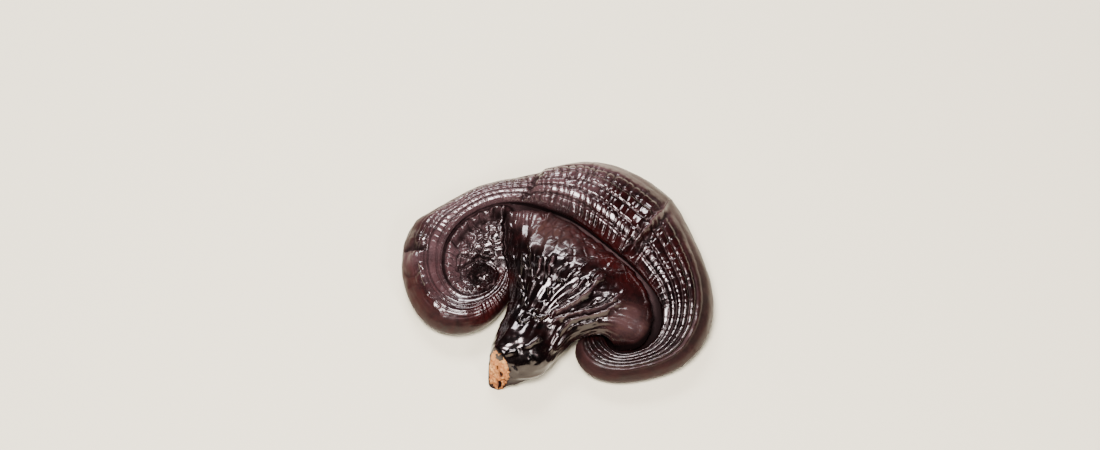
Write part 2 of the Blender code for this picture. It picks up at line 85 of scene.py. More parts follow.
# The stem and the fan: rows across them from the cut end to the fan's edge, upper side and under side
STEM_AND_FAN = (
    (
        ((-26.6, -39.8, 8.0), (-25.4, -37.1, 13.5), (-22.7, -37.0, 16.5), (-19.5, -41.3, 14.5),
         (-18.0, -45.8, 7.5)),
        ((-18.0, -45.8, 7.5), (-20.3, -47.0, 2.5), (-23.4, -46.9, -0.4), (-26.2, -44.5, 1.0),
         (-26.6, -39.8, 8.0)),
    ),
    (
        ((-23.8, -27.9, 8.5), (-22.3, -27.9, 14.0), (-18.0, -29.8, 18.0), (-12.9, -34.1, 18.5),
         (-7.8, -39.5, 16.0), (-5.1, -42.4, 11.0), (-4.7, -42.8, 7.0)),
        ((-4.7, -42.8, 7.0), (-7.5, -40.0, 2.0), (-14.0, -34.5, 0.5), (-20.5, -29.5, 2.5),
         (-23.8, -27.9, 8.5)),
    ),
    (
        ((-19.1, -13.8, 9.0), (-17.2, -13.2, 13.5), (-13.7, -15.7, 17.0), (-9.0, -19.5, 19.0),
         (-4.3, -22.9, 18.5), (0.0, -26.7, 16.5), (3.1, -30.8, 13.5), (5.1, -31.8, 9.0)),
        ((5.1, -31.8, 9.0), (1.5, -29.0, 4.5), (-5.0, -23.5, 3.0), (-12.0, -18.0, 4.0), (-19.1, -13.8, 9.0)),
    ),
    (
        ((-19.3, 3.8, 13.2), (-16.8, 4.2, 17.2), (-10.9, 3.2, 21.0), (-1.2, -2.3, 23.5), (9.0, -8.0, 24.0),
         (16.4, -15.2, 22.5), (19.9, -21.9, 20.0), (19.9, -26.8, 17.5), (16.8, -29.6, 13.0)),
        ((16.8, -29.6, 13.0), (14.0, -22.0, 10.5), (8.0, -10.0, 10.5), (-4.0, -2.5, 10.0),
         (-19.3, 3.8, 13.2)),
    ),
    (
        ((-20.0, 24.1, 16.4), (-16.4, 24.2, 17.8), (-9.4, 23.8, 19.0), (0.0, 20.8, 19.5), (11.3, 13.4, 19.0),
         (21.9, 4.9, 18.0), (31.2, -4.1, 16.5), (36.3, -14.1, 15.0), (37.5, -22.2, 13.5),
         (35.2, -28.6, 12.0), (29.7, -32.2, 10.5), (22.3, -32.3, 9.0)),
        ((22.3, -32.3, 9.0), (30.0, -29.0, 9.0), (33.0, -15.0, 10.0), (20.0, 2.0, 11.5), (0.0, 17.0, 12.0),
         (-20.0, 24.1, 16.4)),
    ),
)

# The cap's floor between the band and the fan: the left curl's pit, the slope round it and the crevice's bed
FLOOR = (
    (-28.3, 0.3, 4.8), (-33.0, 4.0, 10.0), (-30.5, 8.5, 11.8), (-27.0, 13.5, 14.0), (-23.8, 4.6, 9.0),
    (-22.4, 9.4, 12.4), (-21.0, 15.5, 15.0), (-21.0, 22.5, 16.6), (-34.2, -3.0, 8.8), (-28.5, -4.9, 7.4),
    (0.0, 5.0, 15.0), (15.0, -2.0, 15.0), (26.0, -14.0, 12.5), (12.0, -16.0, 12.0),
)
FLOOR_ROOT = ((11.0, -21.0, 12.0), (3.0, -13.0, 13.0), (-6.0, -6.0, 13.0), (-13.5, -1.0, 11.0))
UNDERSIDE = ((6.0, 6.0, 8.5), (-12.0, 12.0, 8.5), (20.0, -6.0, 8.5), (-27.3, 0.3, 2.8), (-34.0, 8.0, 5.0))
UNDERSIDE_AT_ROOT = 8.0

# The neck, where the cap's solid and the stem's part
NECK_DIRECTION = np.array([0.6, 0.8, 0.0])
NECK_AT = -26.0


# The picture looks down at 60 degrees, so it shows a place at its x and at this share of its y and z
SEEN_Y = math.sin(math.radians(60))
SEEN_Z = math.cos(math.radians(60))


class Sheet(Enum):
    """The two sides of the cap's floor."""

    TOP = "top"
    UNDER = "under"


@dataclass(frozen=True)
class Patch:
    """A soft round stain or wear mark, placed as the picture shows it: millimetres to the right and up."""

    x: float
    y: float
    radius: float
    strength: float = 1.0


def patch_mask(places: np.ndarray, patches: Sequence[Patch]) -> np.ndarray:
    """Blends patches into one mask.

    Args:
        places: where the picture shows each point, in millimetres.
        patches: the soft marks to blend.

    Returns:
        One value from 0 to 1 for each point.
    """
    clear = np.ones(len(places))
    for patch in patches:
        square = (places[:, 0] - patch.x)**2 + (places[:, 1] - patch.y)**2
        clear *= 1 - patch.strength * np.exp(-square / patch.radius**2)
    return 1 - clear


@dataclass(frozen=True)
class Fold:
    """A ridge, or a crease where its height is negative, along a line drawn as the picture shows it.

    The line's points are millimetres to the right of the frame's middle and up the picture.
    """

    line: tuple
    height: float
    width: float


def seen(places: np.ndarray) -> np.ndarray:
    """Where the picture shows each place: millimetres to the right and up."""
    return np.column_stack([places[:, 0], SEEN_Y * places[:, 1] + SEEN_Z * places[:, 2]])


def ripple(at: np.ndarray, wavelength: float, seed: int) -> np.ndarray:
    """A smooth uneven value from about -1 to 1 at each place of a plane."""
    draw = np.random.default_rng(seed)
    total = np.zeros(len(at))
    for _ in range(7):
        turn = draw.uniform(0, 2 * math.pi)
        pace = 2 * math.pi / (wavelength * draw.uniform(0.6, 1.7))
        total += np.sin((at @ (math.cos(turn), math.sin(turn))) * pace + draw.uniform(0, 2 * math.pi))
    return total / 3.5


def fold_heights(places: np.ndarray, folds: Sequence[Fold], wander: float, seed: int) -> tuple[np.ndarray, ...]:
    """Raises folds on a surface.

    Args:
        places: the surface's points in millimetres.
        folds: the ridges and creases.
        wander: how far the lines stray to the side, in millimetres.
        seed: the seed of the straying.

    Returns:
        The height of the ridges and the depth of the creases at each place, both 0 or more.
    """
    flat = seen(places)
    at = flat + wander * np.column_stack([ripple(flat, 4.5, seed), ripple(flat, 4.5, seed + 1)])
    ridges = np.zeros(len(places))
    creases = np.zeros(len(places))
    for fold in folds:
        line = spline(fold.line, np.linspace(0, len(fold.line) - 1, 8 * len(fold.line)))
        reach = 3.5 * fold.width
        near = ((at > line.min(axis=0) - reach) & (at < line.max(axis=0) + reach)).all(axis=1)
        away, along = from_line(at[near], line)
        taper = np.clip(np.minimum(along, 1 - along) / 0.22, 0, 1) ** 0.7
        height = abs(fold.height) * taper * np.exp(-(away / fold.width)**1.5)
        target = ridges if fold.height > 0 else creases
        target[near] = np.maximum(target[near], height)
    return ridges, creases


def from_line(at: np.ndarray, line: np.ndarray) -> tuple[np.ndarray, np.ndarray]:
    """How far each place is from a line, and how far along it the nearest point lies, from 0 to 1."""
    best = np.full(len(at), np.inf)
    along = np.zeros(len(at))
    for number, (a, b) in enumerate(zip(line[:-1], line[1:])):
        step = b - a
        share = np.clip((at - a) @ step / max(step @ step, 1e-9), 0, 1)
        away = np.linalg.norm(at - a - share[:, None] * step, axis=1)
        closer = away < best
        best[closer] = away[closer]
        along[closer] = (number + share[closer]) / (len(line) - 1)
    return best, along


def spline(points: Sequence, at: np.ndarray) -> np.ndarray:
    """Reads a natural cubic spline through evenly numbered points.

    Args:
        points: numbers or points, one at each whole number from 0.
        at: the places to read, as numbers along the points.

    Returns:
        The spline's value at each place.
    """
    points = np.asarray(points, float)
    last = len(points) - 1
    system = np.eye(last + 1)
    turn = np.zeros_like(points)
    for i in range(1, last):
        system[i, i - 1:i + 2] = 1, 4, 1
        turn[i] = 6 * (points[i - 1] - 2 * points[i] + points[i + 1])
    bend = np.linalg.solve(system, turn)
    at = np.clip(np.asarray(at, float), 0, last)
    low = np.minimum(at.astype(int), last - 1)
    b = at - low
    if points.ndim > 1:
        b = b[..., None]
    a = 1 - b
    curve = a * points[low] + b * points[low + 1]
    return curve + ((a**3 - a) * bend[low] + (b**3 - b) * bend[low + 1]) / 6


def thin_plate(points: np.ndarray, places: np.ndarray) -> np.ndarray:
    """Reads the smooth sheet through given points.

    Args:
        points: x, y and height of each given point.
        places: x and y of each place to read.

    Returns:
        The sheet's height at each place.
    """
    points = np.asarray(points, float)

    def kernel(a: np.ndarray, b: np.ndarray) -> np.ndarray:
        """The sheet's response at points a to loads at points b."""
        square = ((a[:, None, :] - b[None, :, :])**2).sum(axis=2)
        return 0.5 * square * np.log(square + 1e-9)

    count = len(points)
    system = np.zeros((count + 3, count + 3))
    system[:count, :count] = kernel(points[:, :2], points[:, :2])
    system[:count, count] = system[count, :count] = 1
    system[:count, count + 1:] = points[:, :2]
    system[count + 1:, :count] = points[:, :2].T
    weights = np.linalg.solve(system, np.concatenate([points[:, 2], np.zeros(3)]))
    heights = []
    for part in np.array_split(places, max(1, len(places) // 4000)):
        heights.append(kernel(part, points[:, :2]) @ weights[:count])
    return np.concatenate(heights) + weights[count] + places @ weights[count + 1:]


def even_stations(points: Sequence, first: float, last: float, count: int) -> np.ndarray:
    """Stations that are evenly far apart along a curve.

    Args:
        points: the curve's points at whole stations.
        first: the first station.
        last: the last station.
        count: how many stations to return.

    Returns:
        The stations, from first to last.
    """
    dense = np.linspace(first, last, 2000)
    steps = np.linalg.norm(np.diff(spline(points, dense), axis=0), axis=1)
    length = np.concatenate([[0], np.cumsum(steps)])
    return np.interp(np.linspace(0, length[-1], count), length, dense)


def solid_object(name: str, verts: np.ndarray, faces: list, marks: dict[str, np.ndarray]) -> bpy.types.Object:
    """Makes a smooth mesh object in metres, with its faces turned outwards.

    Args:
        name: the object's name.
        verts: points in millimetres.
        faces: tuples of vertex numbers.
        marks: named values for each vertex, stored as attributes.

    Returns:
        The object, linked to the scene, at the origin.
    """
    mesh = bpy.data.meshes.new(name)
    mesh.from_pydata(((np.asarray(verts) - MIDDLE) * MM).tolist(), [], faces)
    tidy = bmesh.new()
    tidy.from_mesh(mesh)
    bmesh.ops.recalc_face_normals(tidy, faces=tidy.faces)
    tidy.to_mesh(mesh)
    tidy.free()
    for label, values in marks.items():
        attribute = mesh.attributes.new(label, "FLOAT", "POINT")
        attribute.data.foreach_set("value", np.ascontiguousarray(values, dtype=np.float32))
    mesh.shade_smooth()
    thing = bpy.data.objects.new(name, mesh)
    bpy.context.scene.collection.objects.link(thing)
    return thing


def loop_faces(rows: int, columns: int) -> list[tuple[int, ...]]:
    """The quads of a grid whose every row is a closed loop, with a face at each end."""
    faces = []
    for row in range(rows - 1):
        for column in range(columns):
            following = (column + 1) % columns
            faces.append((
                row * columns + column,
                row * columns + following,
                (row + 1) * columns + following,
                (row + 1) * columns + column,
            ))
    faces.append(tuple(range(columns)))
    faces.append(tuple(reversed(range((rows - 1) * columns, rows * columns))))
    return faces


class Wire:
    """A socket of a node tree that plain arithmetic turns into Math nodes."""

    def __init__(self, tree: bpy.types.NodeTree, socket: bpy.types.NodeSocket) -> None:
        """Keeps the tree and the socket."""
        self.tree = tree
        self.socket = socket

    def math(self, operation: str, *others: "Wire | float") -> "Wire":
        """Adds one Math node that works on this value and the others."""
        node = self.tree.nodes.new("ShaderNodeMath")
        node.operation = operation
        for socket, value in zip(node.inputs, (self, *others)):
            plug(self.tree, socket, value)
        return Wire(self.tree, node.outputs[0])

    def __add__(self, other: "Wire | float") -> "Wire":
        """This value plus another."""
        return self.math("ADD", other)

    def __sub__(self, other: "Wire | float") -> "Wire":
        """This value less another."""
        return self.math("SUBTRACT", other)

    def __mul__(self, other: "Wire | float") -> "Wire":
        """This value times another."""
        return self.math("MULTIPLY", other)

    def __truediv__(self, other: "Wire | float") -> "Wire":
        """This value over another."""
        return self.math("DIVIDE", other)

    def clipped(self) -> "Wire":
        """This value held between 0 and 1."""
        node = self.math("ADD", 0.0)
        node.socket.node.use_clamp = True
        return node

    def groove(self, width: "Wire | float") -> "Wire":
        """A narrow bell, 1 where this value is a whole number and 0 between."""
        off = ((self + 0.5).math("FRACT") - 0.5) / width
        return (off * off * -1.0).math("EXPONENT")

    def bell(self, middle: float, width: float) -> "Wire":
        """A bell, 1 where this value is at the middle."""
        off = (self - middle) / width
        return (off * off * -1.0).math("EXPONENT")


def plug(tree: bpy.types.NodeTree, socket: bpy.types.NodeSocket, value: "Wire | float | tuple") -> None:
    """Links a wire to a socket, or sets a plain value on it."""
    if isinstance(value, Wire):
        tree.links.new(value.socket, socket)
    else:
        socket.default_value = value


def put(tree: bpy.types.NodeTree, kind: str, output: int | str = 0, settings: dict | None = None,
        **inputs: "Wire | float | tuple") -> Wire:
    """Adds a node.

    Args:
        tree: the tree that gets the node.
        kind: the node's type.
        output: the output to return.
        settings: the node's own settings.
        inputs: values or wires by input name, with _ for a space.

    Returns:
        The chosen output.
    """
    node = tree.nodes.new(kind)
    for label, value in (settings or {}).items():
        setattr(node, label, value)
    for label, value in inputs.items():
        plug(tree, node.inputs[label.replace("_", " ")], value)
    return Wire(tree, node.outputs[output])


def vector(tree: bpy.types.NodeTree, x: "Wire | float", y: "Wire | float", z: "Wire | float") -> Wire:
    """Joins three values into a vector."""
    return put(tree, "ShaderNodeCombineXYZ", X=x, Y=y, Z=z)


class CrustRelief:
    """The Geometry Nodes tree that raises rings, cracks, wrinkles and lumps on a piece of crust."""

    INPUTS = {
        "Ring Depth": ("NodeSocketFloat", 0.5),
        "Crack Depth": ("NodeSocketFloat", 0.35),
        "Crack Spacing": ("NodeSocketFloat", 2.4),
        "Brick Lift": ("NodeSocketFloat", 0.25),
        "Craze Depth": ("NodeSocketFloat", 0.4),
        "Craze Width": ("NodeSocketFloat", 0.06),
        "Plate Size": ("NodeSocketFloat", 3.6),
        "Plate Lean": ("NodeSocketFloat", 0.0),
        "Wrinkle Height": ("NodeSocketFloat", 0.8),
        "Wrinkles Across": ("NodeSocketFloat", 26.0),
        "Lump Height": ("NodeSocketFloat", 0.3),
        "Seed": ("NodeSocketFloat", 3.0),
        "Finish": ("NodeSocketMaterial", None),
    }

    def __init__(self) -> None:
        """Builds the tree once."""
        self.tree = bpy.data.node_groups.new("crust_relief", "GeometryNodeTree")
        self.names: dict[str, str] = {}
        self.tree.interface.new_socket("Geometry", in_out="INPUT", socket_type="NodeSocketGeometry")
        for label, (kind, value) in self.INPUTS.items():
            socket = self.tree.interface.new_socket(label, in_out="INPUT", socket_type=kind)
            self.names[label] = socket.identifier
            if value is not None:
                socket.default_value = value
        self.tree.interface.new_socket("Geometry", in_out="OUTPUT", socket_type="NodeSocketGeometry")
        self._build()

    def _read(self, label: str) -> Wire:
        """A named value of the surface."""
        return put(self.tree, "GeometryNodeInputNamedAttribute", Name=label)

    def _noise(self, place: Wire, scale: float, detail: float = 2.0) -> Wire:
        """Smooth noise from 0 to 1 at a place."""
        return put(self.tree, "ShaderNodeTexNoise", Vector=place, Scale=scale, Detail=detail)

    def _random(self, place: Wire) -> Wire:
        """A random value from 0 to 1 for each place."""
        return put(self.tree, "ShaderNodeTexWhiteNoise", Vector=place)

    def _build(self) -> None:
        """Wires the relief: each effect is a height along the normal, and the grooves, cracks, crazing and creases
        are kept as a mask of painted shade for the colour.
        """
        tree = self.tree
        entry = tree.nodes.new("NodeGroupInput")
        inputs = {label: Wire(tree, entry.outputs[label]) for label in self.INPUTS}
        seed = inputs["Seed"]
        position = put(tree, "GeometryNodeInputPosition")
        metres = put(tree, "ShaderNodeVectorMath", 0, {"operation": "SCALE"}, Vector=position, Scale=1 / MM)
        ring = self._read("ring")
        along = self._read("along")
        ring_strength = self._read("ring_strength")
        crack_strength = self._read("crack_strength")

        # Rings that run along the band, each groove a little uneven
        ring_wander = (self._noise(vector(tree, along * 0.09, ring * 0.5, seed), 1.0) - 0.5) * 0.4
        at_ring = ring + ring_wander
        ring_uneven = self._noise(vector(tree, along * 0.3, ring.math("ROUND"), seed), 1.0)
        rings = at_ring.groove(self._read("ring_width")) * ring_strength * (ring_uneven * 1.2 + 0.35)

        # Cracks that cross the rings, a little out of line and now and then lost from one brick to the next
        row = at_ring.math("FLOOR")
        shift = self._random(vector(tree, row, seed, 0.0)) * 0.22
        bend = (self._noise(vector(tree, along * 0.13, ring * 0.22, seed + 4.0), 1.0) - 0.5) * 2.6
        crack_at = along / inputs["Crack Spacing"] + shift + bend
        brick = crack_at.math("FLOOR")
        kept = self._random(vector(tree, row, crack_at.math("ROUND"), seed)).math("GREATER_THAN", 0.2)
        crack_width = self._random(vector(tree, crack_at.math("ROUND"), row, seed + 5.0)) * 0.1 + 0.07
        cracks = crack_at.groove(crack_width) * kept * crack_strength

        # Each brick is a small pillow that stands a little higher or lower and leans its own way
        rise = self._random(vector(tree, row, brick, seed + 1.0)) - 0.5
        lean = self._random(vector(tree, row, brick, seed + 2.0)) - 0.5
        tip = self._random(vector(tree, row, brick, seed + 3.0)) - 0.5
        side = crack_at.math("FRACT") - 0.5
        front = at_ring.math("FRACT") - 0.5
        pillow = ((side * 2.0).math("POWER", 4.0) + (front * 2.0).math("POWER", 4.0)) * -0.3
        bricks = (rise * 0.5 + (lean * side + tip * front) * 1.3 + pillow) * crack_strength * inputs["Brick Lift"]

        # Crazing of the dried lacquer into plates
        warp = put(tree, "ShaderNodeTexNoise", "Color", Vector=metres, Scale=0.22)
        warped = put(tree, "ShaderNodeVectorMath", 0, {"operation": "MULTIPLY_ADD"}, Vector=warp)
        for number, value in ((1, (2.2, 2.2, 2.2)), (2, metres)):
            plug(tree, warped.socket.node.inputs[number], value)
        plates = put(tree, "ShaderNodeTexVoronoi", "Distance", {"feature": "DISTANCE_TO_EDGE"},
                     Vector=warped, Scale=inputs["Plate Size"].math("POWER", -1.0))
        plate = put(tree, "ShaderNodeTexVoronoi", "Color", Vector=warped,
                    Scale=inputs["Plate Size"].math("POWER", -1.0))
        middle = Wire(tree, plate.socket.node.outputs["Position"])
        away = put(tree, "ShaderNodeVectorMath", 0, {"operation": "SUBTRACT"}, Vector=warped)
        plug(tree, away.socket.node.inputs[1], middle)
        tilt = put(tree, "ShaderNodeVectorMath", 0, {"operation": "SUBTRACT"}, Vector=plate)
        tilt.socket.node.inputs[1].default_value = (0.5, 0.5, 0.5)
        lean_by = put(tree, "ShaderNodeVectorMath", "Value", {"operation": "DOT_PRODUCT"}, Vector=away)
        plug(tree, lean_by.socket.node.inputs[1], tilt)
        craze_strength = self._read("craze_strength")
        off = plates / inputs["Craze Width"]
        craze = (off * off * -1.0).math("EXPONENT") * craze_strength
        plate_rise = ((plate.math("FRACT") - 0.5) * 0.08 + lean_by * inputs["Plate Lean"]) * craze_strength

        # Wrinkles that run from the stem to the fan's edge, meeting and parting
        across = self._read("across")
        down = self._read("down")
        coarse = self._noise(vector(tree, across * inputs["Wrinkles Across"], down * 0.8, seed), 1.0, 1.0)
        fine = self._noise(vector(tree, across * inputs["Wrinkles Across"] * 2.3, down * 1.6, seed + 7.0), 1.0)
        crest = coarse.bell(0.5, 0.11) + fine.bell(0.5, 0.08) * 0.25
        wrinkles = (crest - 0.35) * self._read("wrinkle_strength")

        # Lumps and dents everywhere, strongest where the surface says so
        lumps = (self._noise(metres, 0.14, 1.0) - 0.5) * (self._read("lump_strength") + 0.25) * 2.4
        dents = (self._noise(metres, 0.5, 1.0) - 0.5) * 0.1

        height = (
            wrinkles * inputs["Wrinkle Height"] - rings * inputs["Ring Depth"] - cracks * inputs["Crack Depth"]
            - craze * inputs["Craze Depth"] + plate_rise + bricks + (lumps + dents) * inputs["Lump Height"]
        )
        normal = put(tree, "GeometryNodeInputNormal")
        offset = put(tree, "ShaderNodeVectorMath", 0, {"operation": "SCALE"}, Vector=normal, Scale=height * MM)
        moved = put(tree, "GeometryNodeSetPosition", Geometry=Wire(tree, entry.outputs["Geometry"]),
                    Offset=offset)
        # Painted shade: rings, cracks, crazing and the crease marks join into one mask that darkens the colour
        groove = (rings + cracks + craze + self._read("crease")).clipped()
        stored = self._store(moved, "groove", groove)
        real = put(tree, "GeometryNodeRealizeInstances", Geometry=stored)
        done = put(tree, "GeometryNodeSetMaterial", Geometry=real, Material=inputs["Finish"])
        leave = tree.nodes.new("NodeGroupOutput")
        plug(tree, leave.inputs["Geometry"], done)

    def _store(self, shape: Wire, label: str, value: Wire) -> Wire:
        """Keeps a value on the surface under a name."""
        return put(self.tree, "GeometryNodeStoreNamedAttribute", 0, {"domain": "POINT"},
                   Geometry=shape, Name=label, Value=value)

    def raise_on(self, thing: bpy.types.Object, finish: bpy.types.Material, **sizes: float) -> None:
        """Turns a piece into a plain mesh with its relief.

        Args:
            thing: the piece, which keeps its place.
            finish: the material that the piece gets.
            sizes: the tree's inputs by name, with _ for a space.
        """
        modifier = thing.modifiers.new("relief", "NODES")
        modifier.node_group = self.tree
        modifier[self.names["Finish"]] = finish
        for label, value in sizes.items():
            modifier[self.names[label.replace("_", " ").title()]] = value
        bake(thing)


def bake(thing: bpy.types.Object) -> None:
    """Turns a piece's modifiers into its plain mesh."""
    evaluated = thing.evaluated_get(bpy.context.evaluated_depsgraph_get())
    shape = bpy.data.meshes.new_from_object(evaluated)
    thing.modifiers.clear()
    thing.data = shape


@dataclass(frozen=True)
class Lacquer:
    """The crust's black-red natural lacquer, with its spore dusting, stains and wear, and with painted sheen and
    painted shade in its colour.
    """

    name: str = "lacquered_crust"
    black: tuple = (0.0008, 0.0004, 0.00045, 1.0)
    maroon: tuple = (0.0110, 0.0022, 0.0024, 1.0)
    worn: tuple = (0.0210, 0.0075, 0.0068, 1.0)
    red: tuple = (0.0210, 0.0016, 0.0015, 1.0)
    # Brown of spore dusting; on the fan's right bulge it also stands in for the bulge's sheen, as painted sheen
    dust_and_sheen: tuple = (0.0300, 0.0130, 0.0095, 1.0)
    # Partly spore bloom, partly painted sheen: a pinkish grey that stands in for the soft reflections of margins,
    # curl and crests
    bloom_and_sheen: tuple = (0.0900, 0.0460, 0.0500, 1.0)
    # Painted shade: the near-black colour laid in the grooves, cracks and creases
    groove: tuple = (0.0003, 0.0002, 0.0002, 1.0)
    sheen: tuple = (1.0, 0.60, 0.62, 1.0)
    roughness: float = 0.16
    coat_roughness: float = 0.15

    def make(self, groups: "Effects") -> bpy.types.Material:
        """Builds the material.

        Args:
            groups: the shader node groups that the finishes share.

        Returns:
            The material.
        """
        material, tree, shader = blank_material(self.name)
        place = put(tree, "ShaderNodeTexCoord", "Object")
        mottle = groups.mottle(tree, place, scale=260.0, detail=5.0)
        fine = groups.mottle(tree, place, scale=1500.0, detail=3.0)
        grain = groups.grain(tree, place, scale=5200.0)
        streak = put(tree, "ShaderNodeTexNoise", 0, Scale=1.0, Detail=3.0, Distortion=0.6,
                     Vector=vector(tree, mask(tree, "across") * 80.0, mask(tree, "down") * 4.0, 0.0))
        fibres = ((streak - 0.47) * 7.0).clipped() * 0.9 + 0.1
        dust_and_sheen_share = (mask(tree, "dust_and_sheen") * (mottle * 1.3 + 0.35) * fibres).clipped()
        reddish = (mask(tree, "red") * (mottle * 1.6 + 0.1)).clipped()
        bloom_and_sheen_share = (mask(tree, "bloom_and_sheen") * (fine * 0.8 + 0.6)).clipped()
        # The mask of painted shade in the grooves, cracks and creases
        groove = mask(tree, "groove")

        ruddy = ((mottle * 1.7 - 0.35).clipped() * (mask(tree, "black") * -1.0 + 1.0)).clipped()
        colour = mix(tree, ruddy, self.black, self.maroon)
        colour = mix(tree, (mask(tree, "worn") * (mottle * 0.9 + 0.45)).clipped(), colour, self.worn)
        colour = mix(tree, reddish, colour, self.red)
        # Partly spore bloom, partly painted sheen and highlights: lightens the colour to pinkish grey
        colour = mix(tree, bloom_and_sheen_share * 0.75, colour, self.bloom_and_sheen)
        # Spore dusting, and on the fan's right bulge painted sheen: a lighter brown
        colour = mix(tree, dust_and_sheen_share * 0.8, colour, self.dust_and_sheen)
        # Painted shade: darkens the colour in the grooves, cracks and creases
        colour = mix(tree, (groove * 0.85).clipped(), colour, self.groove)
        plug(tree, shader.inputs["Base Color"], colour)

        satin = mask(tree, "satin")
        rough = dust_and_sheen_share * 0.3 + satin * 0.45 + bloom_and_sheen_share * 0.1 + fine * 0.06 + groove * 0.3 + self.roughness
        plug(tree, shader.inputs["Roughness"], rough.clipped())
        dull = dust_and_sheen_share * 0.8 + satin * 0.9 + groove * 0.9 + mottle * 0.2
        plug(tree, shader.inputs["Coat Weight"], (dull * -1.0 + 1.0).clipped() * 0.95)
        shader.inputs["Coat Roughness"].default_value = self.coat_roughness
        shader.inputs["Specular IOR Level"].default_value = 0.22
        shader.inputs["Specular Tint"].default_value = self.sheen

        height = mottle * 0.25 + fine * 0.4 + grain * 0.15
        bump = put(tree, "ShaderNodeBump", Strength=0.22, Distance=0.00016, Height=height)
        plug(tree, shader.inputs["Normal"], bump)
        return material


@dataclass(frozen=True)
class PoreSurface:
    """The matte brown underside with its fine pores."""

    name: str = "pore_surface"
    pale: tuple = (0.330, 0.205, 0.110, 1.0)
    dark: tuple = (0.130, 0.070, 0.035, 1.0)
    roughness: float = 0.85

    def make(self, groups: "Effects") -> bpy.types.Material:
        """Builds the material from the shared effects."""
        material, tree, shader = blank_material(self.name)
        place = put(tree, "ShaderNodeTexCoord", "Object")
        mottle = groups.mottle(tree, place, scale=90.0, detail=4.0)
        pores = put(tree, "ShaderNodeTexVoronoi", "Distance", Vector=place, Scale=3300.0)
        colour = mix(tree, (mottle * 1.4 - 0.2).clipped(), self.dark, self.pale)
        colour = mix(tree, (pores * -1.6 + 0.75).clipped(), colour, self.dark)
        plug(tree, shader.inputs["Base Color"], colour)
        plug(tree, shader.inputs["Roughness"], (mottle * 0.15 + self.roughness - 0.05).clipped())
        bump = put(tree, "ShaderNodeBump", Strength=0.6, Distance=0.0002, Height=pores + mottle)
        plug(tree, shader.inputs["Normal"], bump)
        return material


@dataclass(frozen=True)
class CutFlesh:
    """The torn, crumbly flesh at the stem's cut end."""

    name: str = "cut_flesh"
    cream: tuple = (0.560, 0.270, 0.085, 1.0)
    tan: tuple = (0.340, 0.105, 0.020, 1.0)
    # Painted shade: the dark brown laid in the pits, the hole and the crumbly foot's hollows
    brown: tuple = (0.070, 0.016, 0.0035, 1.0)
    roughness: float = 0.8

    def make(self, groups: "Effects") -> bpy.types.Material:
        """Builds the material from the shared effects."""
        material, tree, shader = blank_material(self.name)
        place = put(tree, "ShaderNodeTexCoord", "Object")
        mottle = groups.mottle(tree, place, scale=420.0, detail=5.0)
        grain = groups.grain(tree, place, scale=2600.0)
        rot = mask(tree, "rot")
        pit = mask(tree, "pit")
        colour = mix(tree, (mottle * 1.6 - 0.3).clipped(), self.tan, self.cream)
        colour = mix(tree, (rot * (mottle * -1.4 + 1.35)).clipped(), colour, self.tan)
        # Painted shade: the pits, the hole and the foot's hollows turn dark brown
        colour = mix(tree, (pit * 1.1).clipped(), colour, self.brown)
        plug(tree, shader.inputs["Base Color"], colour)
        plug(tree, shader.inputs["Roughness"], (grain * 0.2 + self.roughness - 0.1).clipped())
        bump = put(tree, "ShaderNodeBump", Strength=0.8, Distance=0.0003, Height=mottle + grain * 0.6)
        plug(tree, shader.inputs["Normal"], bump)
        return material


@dataclass(frozen=True)
class PaleGround:
    """The plain pale floor."""

    name: str = "pale_floor"
    colour: tuple = (0.700, 0.620, 0.470, 1.0)
    roughness: float = 0.55

    def make(self) -> bpy.types.Material:
        """Builds the material."""
        material, _, shader = blank_material(self.name)
        shader.inputs["Base Color"].default_value = self.colour
        shader.inputs["Roughness"].default_value = self.roughness
        return material


def blank_material(name: str) -> tuple[bpy.types.Material, bpy.types.NodeTree, bpy.types.Node]:
    """A material with a Principled shader, its tree and that shader."""
    material = bpy.data.materials.new(name)
    material.use_nodes = True
    tree = material.node_tree
    return material, tree, tree.nodes["Principled BSDF"]


def mask(tree: bpy.types.NodeTree, label: str) -> Wire:
    """Reads a named value of the surface in a material."""
    return put(tree, "ShaderNodeAttribute", "Fac", {"attribute_name": label})


def mix(tree: bpy.types.NodeTree, share: Wire, first: "Wire | tuple", second: "Wire | tuple") -> Wire:
    """Mixes two colours, the second by the given share."""
    node = tree.nodes.new("ShaderNodeMix")
    node.data_type = "RGBA"
    plug(tree, node.inputs[0], share)
    plug(tree, node.inputs[6], first)
    plug(tree, node.inputs[7], second)
    return Wire(tree, node.outputs[2])


